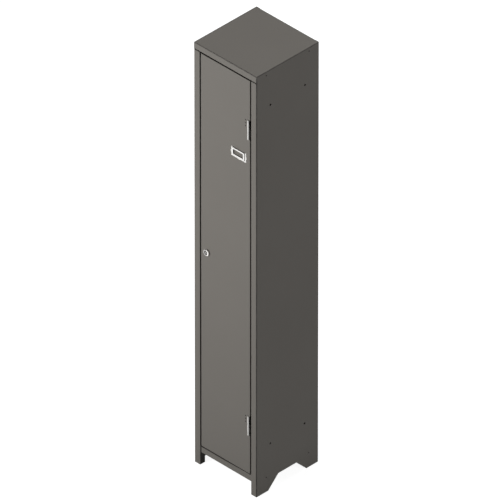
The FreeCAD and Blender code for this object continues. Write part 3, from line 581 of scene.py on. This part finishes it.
@dataclass(frozen=True)
class PressedNickel(PlatedSteel):
    """Bright nickel on the pressed label holder, darker and rougher on its flange, with painted shade on
    the walls of its frame.
    """

    flange: Colour = (0.76, 0.75, 0.73)
    # Painted shade on the walls of the raised frame.
    wall_shade: Colour = (0.60, 0.59, 0.57)
    dull_haze: float = 0.1
    low_face: float = 0.0
    high_face: float = 0.0
    feather: float = 0.4 * MM

    def material(self) -> bpy.types.Material:
        """The plated finish, darker and rougher behind the raised face, with painted shade on the
        frame's walls.

        Returns:
            The material.
        """
        tree, colour, roughness, normal = self.tree()
        depth = tree.coordinate("Y")
        behind = depth.ramp(self.high_face, self.high_face + self.feather)
        lowest = depth.ramp(self.low_face - self.feather, self.low_face)
        # Behind the raised face: the frame's walls painted darker as shade, the flange a darker tone of
        # its own.
        darkened = tree.mix(lowest, self.wall_shade, self.flange)
        return tree.shade(
            base_color=tree.mix(behind, colour, darkened),
            metallic=self.metallic,
            roughness=roughness + self.dull_haze * behind,
            normal=normal,
        )


@dataclass(frozen=True)
class TurnedNickel:
    """Nickel on the lock in rings about its axis: a rim with a painted highlight on its right, painted
    shade in the recess, a painted dark reflection at the foot of the bezel's wall, and a boss.
    """

    centre: Vector
    face: float
    rim_radius: float
    recess_radius: float
    name: str = "lock_nickel"
    boss: Colour = (0.40, 0.39, 0.38)
    # Painted shade in the recess round the boss.
    recess: Colour = (0.085, 0.080, 0.075)
    ring: Colour = (0.44, 0.43, 0.42)
    # A painted highlight on the rim's right side.
    rim_highlight: Colour = (0.92, 0.90, 0.88)
    # A painted dark reflection of the door at the foot of the bezel's wall.
    wall_shade: Colour = (0.07, 0.065, 0.06)
    boss_radius: float = 4.2 * MM
    feather: float = 0.15 * MM
    wall_reach: float = 5.0 * MM
    highlight_span: Span = (0.1, 0.8)
    roughness: float = 0.22
    line_grain: float = 0.4 * MM
    line_depth: float = 0.004 * MM
    line_haze: float = 0.1

    def material(self) -> bpy.types.Material:
        """The nickel finish, in rings.

        Returns:
            The material.
        """
        tree = FinishTree(self.name)
        across = tree.coordinate("X") - self.centre.x
        along = tree.coordinate("Z") - self.centre.z
        radius = (across * across + along * along).root()
        turned = tree.noise(self.line_grain)
        # Painted highlight: the rim brightens towards its right.
        highlight = (across / self.rim_radius).ramp(*self.highlight_span)
        ring = tree.mix(highlight, self.ring, self.rim_highlight)
        # The recess is painted dark in place of its shade.
        colour = tree.mix(self.past(radius, self.boss_radius), self.boss, self.recess)
        colour = tree.mix(self.past(radius, self.recess_radius), colour, ring)
        # Near the door the bezel's wall is painted dark in place of the door's reflection in it.
        low = tree.coordinate("Y").ramp(self.face - self.wall_reach, self.face)
        outermost = self.past(radius, self.rim_radius - 2 * self.feather)
        return tree.shade(
            base_color=tree.mix(low * outermost, colour, self.wall_shade),
            metallic=1.0,
            roughness=self.roughness + self.line_haze * turned,
            normal=tree.relief(turned, self.line_depth),
        )

    def past(self, radius: Value, limit: float) -> Value:
        """One outside a radius, else zero."""
        return radius.ramp(limit - self.feather, limit + self.feather)


@dataclass(frozen=True)
class RivetEndShade:
    """A rivet's end in near-black steel mottled with oxide, its darkness painted shade for the recessed
    end.
    """

    name: str
    colour: Colour
    oxide: Colour
    gloss: float
    roughness: float = 0.72
    mottle_grain: float = 0.9 * MM
    mottle_depth: float = 0.02 * MM
    mottle_haze: float = 0.2

    def material(self) -> bpy.types.Material:
        """The near-black finish, painted shade for a rivet's end.

        Returns:
            The material.
        """
        tree = FinishTree(self.name)
        mottle = tree.noise(self.mottle_grain, detail=3.0)
        return tree.shade(
            base_color=tree.mix(mottle, self.colour, self.oxide),
            roughness=self.roughness + self.mottle_haze * mottle,
            specular_ior_level=self.gloss,
            normal=tree.relief(mottle, self.mottle_depth),
        )


@dataclass(frozen=True)
class MouldedRubber:
    """Black rubber with a fine moulded grain."""

    name: str = "black_rubber"
    colour: Colour = (0.022, 0.022, 0.023)
    bloom: Colour = (0.045, 0.045, 0.046)
    roughness: float = 0.70
    skin_grain: float = 0.5 * MM
    skin_depth: float = 0.03 * MM
    skin_haze: float = 0.15

    def material(self) -> bpy.types.Material:
        """The rubber finish.

        Returns:
            The material.
        """
        tree = FinishTree(self.name)
        skin = tree.noise(self.skin_grain, detail=3.0)
        return tree.shade(
            base_color=tree.mix(skin, self.colour, self.bloom),
            roughness=self.roughness + self.skin_haze * skin,
            normal=tree.relief(skin, self.skin_depth),
        )


@dataclass(frozen=True)
class Finishes:
    """Every finish on the locker."""

    paint: bpy.types.Material
    zinc: bpy.types.Material
    hinge: bpy.types.Material
    sheet: bpy.types.Material
    lock: bpy.types.Material
    rivet: bpy.types.Material
    # Near-black carcass rivet ends, painted shade rather than paint.
    painted_rivet: bpy.types.Material
    rubber: bpy.types.Material

    @classmethod
    def mixed(cls, frame: Frame) -> Finishes:
        """Make every finish once.

        Args:
            frame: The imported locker.

        Returns:
            The finishes.
        """
        zinc = ((0.74, 0.74, 0.72), (0.60, 0.61, 0.62))
        barrel = ((0.60, 0.59, 0.57), (0.54, 0.53, 0.52))
        nickel = ((0.83, 0.82, 0.80), (0.78, 0.77, 0.75))
        # Near-black rivet ends as painted shade, on the door and a little lighter on the carcass; none
        # of them are painted over.
        door_rivet_shade = ((0.003, 0.003, 0.003), (0.008, 0.007, 0.006))
        painted = ((0.012, 0.011, 0.010), (0.008, 0.007, 0.006))
        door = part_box("door_panel")
        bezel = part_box("lock_housing")
        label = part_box("label_holder")
        return cls(
            paint=PowderCoat(
                FoldWearAndShade(frame.carcass(), frame.SHEET_GAUGE),
                DoorGapShade(door, frame.SHEET_GAUGE),
            ).material(),
            zinc=PlatedSteel("zinc_plate", *zinc, roughness=0.28).material(),
            hinge=HalfPaintedZinc(
                "hinge_zinc", *barrel, roughness=0.42, metallic=0.55, edge=frame.hinge_back()
            ).material(),
            sheet=PressedNickel(
                "bright_nickel",
                *nickel,
                roughness=0.42,
                metallic=0.25,
                low_face=door[0].y - frame.LABEL_GAUGE,
                high_face=label[0].y,
            ).material(),
            lock=TurnedNickel(
                frame.axis("lock_turn"),
                face=door[0].y,
                rim_radius=(bezel[1].x - bezel[0].x) / 2,
                recess_radius=LockHousing.recess_radius,
            ).material(),
            rivet=RivetEndShade("dark_rivet_steel", *door_rivet_shade, gloss=0.02).material(),
            painted_rivet=RivetEndShade("painted_rivet", *painted, gloss=0.04).material(),
            rubber=MouldedRubber().material(),
        )


class Frame:
    """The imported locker: its nodes, joints and boxes."""

    SHEET_GAUGE = 1.0 * MM
    LABEL_GAUGE = 0.8 * MM
    LEAF_START = 0.72

    def __init__(self, loaded: Mapping[str, object]) -> None:
        """Keep what was loaded."""
        self.nodes: Mapping[str, bpy.types.Object] = loaded["nodes"]
        self.joints = {joint["name"]: joint for joint in loaded["joints"]}

    def axis(self, joint: str) -> Vector:
        """A point on a joint's axis."""
        return Vector(self.joints[joint]["pos_m"])

    def hinge_back(self) -> float:
        """The depth behind the hinges' axis at which their painted leaves start."""
        low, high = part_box("hinge_washers")
        return low.y + self.LEAF_START * (high.y - low.y)

    @staticmethod
    def carcass() -> Box:
        """The box round both side panels."""
        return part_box("left_side_panel")[0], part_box("right_side_panel")[1]

    def solids(self, node: str) -> list[Box]:
        """The box of each separate solid of a node.

        Args:
            node: The node's name.

        Returns:
            The lowest and highest corner of each.
        """
        work = bmesh.new()
        work.from_mesh(self.nodes[node].data)
        bmesh.ops.remove_doubles(work, verts=work.verts, dist=WELD)
        boxes = []
        left = set(work.verts)
        while left:
            island = self.island(left.pop())
            left -= island
            low = Vector(min(vert.co[k] for vert in island) for k in range(3))
            high = Vector(max(vert.co[k] for vert in island) for k in range(3))
            boxes.append((low, high))
        work.free()
        return sorted(boxes, key=lambda box: tuple(box[0]))

    @staticmethod
    def island(start: bmesh.types.BMVert) -> set[bmesh.types.BMVert]:
        """Every vertex that is joined to one.

        Args:
            start: The vertex to start from.

        Returns:
            It and all the others.
        """
        found, edge = {start}, [start]
        while edge:
            vert = edge.pop()
            for link in vert.link_edges:
                other = link.other_vert(vert)
                if other not in found:
                    found.add(other)
                    edge.append(other)
        return found


class Body(Enum):
    """The rigid bodies that turned pieces ride on."""

    CARCASS = "carcass"
    DOOR = "door"


class Heads(Enum):
    """Which way a row of rivets turns its heads."""

    INWARD = "towards the middle"
    FRONT = "to the front"
    BACK = "to the back"
    DOWN = "downwards"

    def direction(self, centre: Vector) -> Vector:
        """The way the head of a rivet points.

        Args:
            centre: The rivet's middle.

        Returns:
            A unit vector from its tail to its head.
        """
        if self is Heads.INWARD:
            return Vector((-math.copysign(1.0, centre.x), 0.0, 0.0))
        return Vector({Heads.FRONT: (0, -1, 0), Heads.BACK: (0, 1, 0), Heads.DOWN: (0, 0, -1)}[self])


@dataclass(frozen=True)
class Piece:
    """What a finished piece rides on, the slot name it keeps and the node it stands for."""

    body: Body
    slot: str
    node: str

    def place(self, obj: bpy.types.Object) -> bpy.types.Object:
        """Let an object ride on its body in place of its node.

        Args:
            obj: The finished object.

        Returns:
            The same object.
        """
        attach(obj, self.body.value)
        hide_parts(self.node)
        LOG.info("%s rides on the %s, %d faces", obj.name, self.body.value, len(obj.data.polygons))
        return obj


class TurnedTree:
    """Geometry nodes that turn a profile about Z and set a copy on every point."""

    SEGMENTS = 40

    def __init__(self) -> None:
        """Build the tree once, with named inputs."""
        self.group = bpy.data.node_groups.new("turned_on_points", "GeometryNodeTree")
        kinds = {
            "Points": "NodeSocketGeometry",
            "Profile": "NodeSocketObject",
            "Segments": "NodeSocketInt",
            "Finish": "NodeSocketMaterial",
        }
        face = self.group.interface
        self.inputs = {
            name: face.new_socket(name=name, in_out="INPUT", socket_type=kind).identifier
            for name, kind in kinds.items()
        }
        face.new_socket(name="Geometry", in_out="OUTPUT", socket_type="NodeSocketGeometry")
        self.fill(Tree(self.group))

    def fill(self, tree: Tree) -> None:
        """Add the nodes: a grid wrapped round the profile, then its copies.

        Args:
            tree: The group's nodes.
        """
        given = tree.node("NodeGroupInput")
        points, profile, segments, finish = (Value(tree, given.outputs[name]) for name in self.inputs)
        outline = tree.value("GeometryNodeObjectInfo", None, {"Object": profile}, output="Geometry")
        count = tree.value(
            "GeometryNodeAttributeDomainSize",
            {"component": "MESH"},
            {"Geometry": outline},
            output="Point Count",
        )
        sides = {"Vertices X": segments + 1.0, "Vertices Y": count}
        sheet = tree.value("GeometryNodeMeshGrid", None, sides, output="Mesh")
        index = tree.value("GeometryNodeInputIndex")
        angle = (index / count).floor() / segments * math.tau
        where = tree.value("GeometryNodeInputPosition")
        sample = {"data_type": "FLOAT_VECTOR", "domain": "POINT"}
        inputs = {"Geometry": outline, "Value": where, "Index": index % count}
        corner = tree.value("GeometryNodeSampleIndex", sample, inputs)
        radius = tree.value("ShaderNodeSeparateXYZ", None, {"Vector": corner}, output="X")
        height = tree.value("ShaderNodeSeparateXYZ", None, {"Vector": corner}, output="Z")
        around = {"X": radius * angle.cosine(), "Y": radius * angle.sine(), "Z": height}
        wrapped = tree.value("ShaderNodeCombineXYZ", None, around)
        turned = tree.value("GeometryNodeSetPosition", None, {"Geometry": sheet, "Position": wrapped})
        closed = tree.value("GeometryNodeMergeByDistance", None, {"Geometry": turned, "Distance": WELD})
        bend = tree.value("GeometryNodeInputMeshEdgeAngle", output="Unsigned Angle")
        soft = tree.value("GeometryNodeSetShadeSmooth", {"domain": "FACE"}, {"Geometry": closed})
        smooth = {"Geometry": soft, "Shade Smooth": bend < CREASE}
        creased = tree.value("GeometryNodeSetShadeSmooth", {"domain": "EDGE"}, smooth)
        facing = tree.value(
            "GeometryNodeInputNamedAttribute", {"data_type": "FLOAT_VECTOR"}, {"Name": "facing"}
        )
        turn = tree.value("FunctionNodeAlignRotationToVector", {"axis": "Z"}, {"Vector": facing})
        inputs = {"Points": points, "Instance": creased, "Rotation": turn}
        copies = tree.value("GeometryNodeInstanceOnPoints", None, inputs)
        solid = tree.value("GeometryNodeRealizeInstances", None, {"Geometry": copies})
        dressed = tree.value("GeometryNodeSetMaterial", None, {"Geometry": solid, "Material": finish})
        tree.node("NodeGroupOutput", None, {0: dressed})

    def turn(
        self,
        name: str,
        profile: Sequence[Point],
        places: Sequence[Vector],
        facings: Sequence[Vector],
        finish: bpy.types.Material,
    ) -> bpy.types.Object:
        """Turn a profile and set it at every place.

        Args:
            name: The piece's name.
            profile: Radius and height of each corner, from one end of the axis to the other.
            places: Where the profile's origin goes.
            facings: Which way each copy's axis points.
            finish: The material.

        Returns:
            The piece as a plain mesh.
        """
        corners = [(radius, 0.0, height) for radius, height in profile]
        outline = bpy.data.objects.new(f"{name}_profile", points_mesh(corners))
        obj = new_object(name, points_mesh(places))
        facing = obj.data.attributes.new("facing", "FLOAT_VECTOR", "POINT")
        facing.data.foreach_set("vector", [part for way in facings for part in way])
        modifier = obj.modifiers.new("turned", "NODES")
        modifier.node_group = self.group
        given = {"Profile": outline, "Segments": self.SEGMENTS, "Finish": finish}
        for key, setting in given.items():
            modifier[self.inputs[key]] = setting
        settle(obj)
        bpy.data.objects.remove(outline)
        return obj


def points_mesh(points: Sequence[Sequence[float]]) -> bpy.types.Mesh:
    """A mesh of loose points.

    Args:
        points: Where they are.

    Returns:
        The mesh.
    """
    mesh = bpy.data.meshes.new("points")
    mesh.from_pydata([tuple(point) for point in points], [], [])
    return mesh


def new_object(name: str, mesh: bpy.types.Mesh) -> bpy.types.Object:
    """A named object in the scene.

    Args:
        name: Its name.
        mesh: Its mesh.

    Returns:
        The object.
    """
    obj = bpy.data.objects.new(name, mesh)
    bpy.context.scene.collection.objects.link(obj)
    return obj


def settle(obj: bpy.types.Object) -> None:
    """Give an object the plain closed mesh that its modifiers make, with its faces outwards.

    Args:
        obj: The object, which loses its modifiers.
    """
    graph = bpy.context.evaluated_depsgraph_get()
    mesh = bpy.data.meshes.new_from_object(obj.evaluated_get(graph))
    obj.modifiers.clear()
    obj.data = mesh
    mesh.name = obj.name
    work = bmesh.new()
    work.from_mesh(mesh)
    bmesh.ops.recalc_face_normals(work, faces=work.faces)
    work.to_mesh(mesh)
    work.free()


def arc(centre: Point, size: Point, start: float, end: float, steps: int) -> Iterator[Point]:
    """Points along an arc of an ellipse, both ends included.

    Args:
        centre: Its centre.
        size: Half its width and half its height.
        start: Its first angle, in degrees.
        end: Its last angle, in degrees.
        steps: How many pieces it is cut into.

    Yields:
        Each point.
    """
    for step in range(steps + 1):
        angle = math.radians(start + (end - start) * step / steps)
        yield centre[0] + size[0] * math.cos(angle), centre[1] + size[1] * math.sin(angle)


@dataclass(frozen=True)
class RivetRow:
    """A group of like rivets, set where the frame has them."""

    node: str
    body: Body
    heads: Heads
    slot: str = "dark_rivet_steel"
    shank: float = 2.4 * MM
    head_height: float = 1.3 * MM
    eye: float = 0.9 * MM
    eye_depth: float = 0.5 * MM
    rim: float = 0.25 * MM
    dome_steps: int = 6

    def profile(self, length: float, head: float) -> list[Point]:
        """The rivet's outline, from its open tail to the eye in its head.

        Args:
            length: From the tail to the top of the head.
            head: The head's radius.

        Returns:
            Radius and height of each corner.
        """
        seat = length - self.head_height
        tail = [
            (0.0, self.eye_depth),
            (self.eye, self.eye_depth),
            (self.eye, 0.0),
            (self.shank - self.rim, 0.0),
            (self.shank, self.rim),
            (self.shank, seat),
            (head - self.rim, seat),
        ]
        size = (head - self.eye, self.head_height - self.rim)
        dome = list(arc((self.eye, seat + self.rim), size, 0.0, 90.0, self.dome_steps))
        return tail + dome + [(self.eye, length - self.eye_depth), (0.0, length - self.eye_depth)]

    def build(self, frame: Frame, lathe: TurnedTree, finish: bpy.types.Material) -> bpy.types.Object:
        """Set the row's rivets.

        Args:
            frame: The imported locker.
            lathe: The nodes that turn them.
            finish: Their material.

        Returns:
            The rivets as one piece.
        """
        places, facings = [], []
        length = head = 0.0
        for low, high in frame.solids(self.node):
            centre = (low + high) / 2
            way = self.heads.direction(centre)
            extent = high - low
            length = abs(extent.dot(way))
            head = max(extent - Vector(abs(part) for part in way) * length) / 2
            places.append(centre - way * length / 2)
            facings.append(way)
        made = lathe.turn(f"{self.node}_set", self.profile(length, head), places, facings, finish)
        return Piece(self.body, self.slot, self.node).place(made)


@dataclass
class Riveting:
    """Every rivet of the locker."""

    rows: tuple[RivetRow, ...] = (
        RivetRow("top_panel_rivets", Body.CARCASS, Heads.INWARD),
        RivetRow("bottom_panel_rivets", Body.CARCASS, Heads.INWARD),
        RivetRow("back_panel_rivets", Body.CARCASS, Heads.FRONT),
        RivetRow("shelf_rivets", Body.CARCASS, Heads.DOWN),
        RivetRow("coat_hook_rivets", Body.CARCASS, Heads.DOWN),
        RivetRow("hinge_frame_rivets", Body.CARCASS, Heads.FRONT),
        RivetRow("hinge_door_rivets", Body.DOOR, Heads.BACK),
    )

    def build(self, frame: Frame, lathe: TurnedTree, finishes: Finishes) -> None:
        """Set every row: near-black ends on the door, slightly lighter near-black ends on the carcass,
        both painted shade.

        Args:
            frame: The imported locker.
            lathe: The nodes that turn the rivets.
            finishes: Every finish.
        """
        for row in self.rows:
            on_door = row.body is Body.DOOR
            row.build(frame, lathe, finishes.rivet if on_door else finishes.painted_rivet)


@dataclass(frozen=True)
class LockHousing:
    """The lock's housing: a bevelled bezel round a recess, and a threaded barrel behind the door."""

    node: str = "lock_housing"
    bevel: float = 0.8 * MM
    bevel_steps: int = 5
    lead: float = 0.3 * MM
    recess_radius: float = 8.0 * MM
    recess_depth: float = 3.0 * MM
    bore_radius: float = 6.05 * MM
    barrel_radius: float = 9.0 * MM
    thread_pitch: float = 1.25 * MM
    thread_depth: float = 0.45 * MM
    slot: str = "bright_nickel"

    def profile(self, rim: float, seat: float, length: float) -> list[Point]:
        """The housing's closed outline, with heights from the bezel's face to the back.

        Args:
            rim: The bezel's radius.
            seat: The height of the door's face.
            length: The height of the barrel's end.

        Returns:
            Radius and height of each corner.
        """
        start = (self.bore_radius, self.recess_depth)
        recess = [
            start,
            (self.recess_radius, self.recess_depth),
            (self.recess_radius, self.lead),
            (self.recess_radius + self.lead, 0.0),
        ]
        size = (self.bevel, self.bevel)
        bezel = list(arc((rim - self.bevel, self.bevel), size, -90.0, 0.0, self.bevel_steps))
        barrel = [(rim, seat), (self.barrel_radius, seat)]
        turns = int((length - seat) / self.thread_pitch)
        for turn in range(1, turns):
            groove = seat + turn * self.thread_pitch
            barrel.append((self.barrel_radius, groove))
            barrel.append((self.barrel_radius - self.thread_depth, groove + self.thread_pitch / 2))
        end = [(self.barrel_radius - self.lead, length), (self.bore_radius, length), start]
        return recess + bezel + barrel + end

    def build(self, frame: Frame, lathe: TurnedTree, finish: bpy.types.Material) -> bpy.types.Object:
        """Turn the housing about the lock's axis.

        Args:
            frame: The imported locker.
            lathe: The nodes that turn it.
            finish: Its material.

        Returns:
            The housing.
        """
        low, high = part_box(self.node)
        axis = frame.axis("lock_turn")
        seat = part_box("door_panel")[0].y - low.y
        outline = self.profile((high.x - low.x) / 2, seat, high.y - low.y)
        place = Vector((axis.x, low.y, axis.z))
        facing = Heads.BACK.direction(place)
        made = lathe.turn(f"{self.node}_turned", outline, [place], [facing], finish)
        return Piece(Body.DOOR, self.slot, self.node).place(made)


@dataclass
class Panels:
    """The sheets and plated pieces that keep the frame's own shape."""

    painted: tuple[str, ...] = (
        "left_side_panel",
        "right_side_panel",
        "back_panel",
        "top_panel",
        "bottom_panel",
        "hat_shelf",
        "left_shelf_bracket",
        "right_shelf_bracket",
        "door_panel",
        "door_stiffener",
    )
    plated: tuple[str, ...] = (
        "upper_hinge_pin",
        "lower_hinge_pin",
        "hinge_washers",
        "coat_hook",
        "lock_nut",
        "lock_cam",
        "cam_washer",
        "cam_screw",
    )
    leaves: tuple[str, ...] = (
        "upper_hinge_frame_leaf",
        "lower_hinge_frame_leaf",
        "upper_hinge_door_leaf",
        "lower_hinge_door_leaf",
    )
    bright: tuple[str, ...] = ("label_holder", "label_holder_rivets")
    lock: tuple[str, ...] = ("lock_plug",)
    rubber: tuple[str, ...] = ("door_buffers",)

    def dress(self, frame: Frame, finishes: Finishes) -> None:
        """Give every kept node its finish.

        Args:
            frame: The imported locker.
            finishes: Every finish.
        """
        groups = (
            (self.painted, finishes.paint),
            (self.plated, finishes.zinc),
            (self.leaves, finishes.hinge),
            (self.bright, finishes.sheet),
            (self.lock, finishes.lock),
            (self.rubber, finishes.rubber),
        )
        for names, finish in groups:
            for name in names:
                frame.nodes[name].material_slots[0].material = finish
                LOG.info("%s wears %s", name, finish.name)


@dataclass(frozen=True)
class Lamp:
    """A square studio lamp turned to a point."""

    name: str
    place: Place
    aim: Place
    power: float
    size: float

    def build(self) -> None:
        """Hang the lamp and turn it."""
        data = bpy.data.lights.new(self.name, "AREA")
        data.energy = self.power
        data.size = self.size
        obj = bpy.data.objects.new(self.name, data)
        obj.location = self.place
        obj.rotation_euler = (Vector(self.aim) - obj.location).to_track_quat("-Z", "Y").to_euler()
        bpy.context.scene.collection.objects.link(obj)


@dataclass
class Studio:
    """A pale floor, a white surround, soft lamps and the camera."""

    ambient: float = 0.14
    white: Colour = (1.0, 1.0, 1.0)
    floor_radius: float = 60.0
    floor_sides: int = 96
    floor_seen: float = 0.40
    floor_bounce: float = 0.15
    floor_lift: float = 0.90
    lens: float = 1600.0
    sensor: float = 36.0
    view_width: float = 1.7375
    view_aim: Place = (-0.0319, 0.00375, 0.8895)
    view_from: Place = (1.0, -1.0, 1.0)
    view_past: float = 2.0
    lamps: tuple[Lamp, ...] = (
        Lamp("key_lamp", (-0.80, -2.65, 1.50), (0.4, -0.15, 1.5), 62.0, 1.2),
        Lamp("side_lamp", (5.0, 0.6, 2.5), (0.15, 0.0, 1.2), 47.0, 2.0),
        Lamp("top_lamp", (0.0, 0.0, 4.8), (0.0, 0.0, 1.8), 43.0, 0.8),
        Lamp("back_lamp", (-1.9, 4.2, 0.9), (0.0, 0.1, 0.9), 60.0, 1.4),
    )

    def build(self) -> None:
        """Set up the whole studio."""
        self.surround()
        self.floor()
        for lamp in self.lamps:
            lamp.build()
        self.camera()
        bpy.context.scene.view_settings.view_transform = "Standard"

    @staticmethod
    def seen(tree: Tree) -> Value:
        """One for a ray from the camera, a mirror or a glass, else zero.

        Args:
            tree: The nodes to add to.

        Returns:
            The value.
        """
        path = tree.node("ShaderNodeLightPath")
        camera, glossy, clear = (
            Value(tree, path.outputs[f"Is {kind} Ray"]) for kind in ("Camera", "Glossy", "Transmission")
        )
        return camera.most(glossy).most(clear)

    def surround(self) -> None:
        """A world that looks white and lights softly."""
        world = bpy.data.worlds.new("studio")
        world.use_nodes = True
        tree = Tree(world.node_tree)
        strength = self.ambient + (1.0 - self.ambient) * self.seen(tree)
        inputs = {"Color": opaque(self.white), "Strength": strength}
        light = tree.value("ShaderNodeBackground", None, inputs)
        tree.node("ShaderNodeOutputWorld", None, {"Surface": light})
        bpy.context.scene.world = world

    def floor(self) -> None:
        """A round floor that looks white, keeps the shadow and bounces little light."""
        work = bmesh.new()
        bmesh.ops.create_circle(
            work, cap_ends=True, segments=self.floor_sides, radius=self.floor_radius
        )
        mesh = bpy.data.meshes.new("floor")
        work.to_mesh(mesh)
        work.free()
        material = bpy.data.materials.new("pale_floor")
        material.use_nodes = True
        tree = Tree(material.node_tree)
        seen = self.seen(tree)
        tone = self.floor_bounce + (self.floor_seen - self.floor_bounce) * seen
        grey = tree.value("ShaderNodeCombineColor", None, {"Red": tone, "Green": tone, "Blue": tone})
        matt = tree.value("ShaderNodeBsdfDiffuse", None, {"Color": grey})
        lift = tree.value("ShaderNodeEmission", None, {"Strength": self.floor_lift * seen})
        both = tree.value("ShaderNodeAddShader", None, {0: matt, 1: lift})
        tree.node("ShaderNodeOutputMaterial", None, {"Surface": both})
        mesh.materials.append(material)
        new_object("floor", mesh)

    def camera(self) -> None:
        """A far camera with a long lens, at the photograph's angle."""
        data = bpy.data.cameras.new("camera")
        data.sensor_width = self.sensor
        data.lens = self.lens
        distance = self.view_width * self.lens / self.sensor
        data.clip_end = distance * self.view_past
        obj = bpy.data.objects.new("camera", data)
        back = Vector(self.view_from).normalized()
        obj.location = Vector(self.view_aim) + back * distance
        obj.rotation_euler = (-back).to_track_quat("-Z", "Y").to_euler()
        bpy.context.scene.collection.objects.link(obj)
        bpy.context.scene.camera = obj


def main() -> None:
    """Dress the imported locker, set its hardware and light it."""
    logging.basicConfig(level=logging.INFO, format="%(message)s")
    frame = Frame(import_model())
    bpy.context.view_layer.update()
    finishes = Finishes.mixed(frame)
    lathe = TurnedTree()
    Panels().dress(frame, finishes)
    Riveting().build(frame, lathe, finishes)
    LockHousing().build(frame, lathe, finishes.lock)
    Studio().build()


if __name__ == "__main__":
    main()
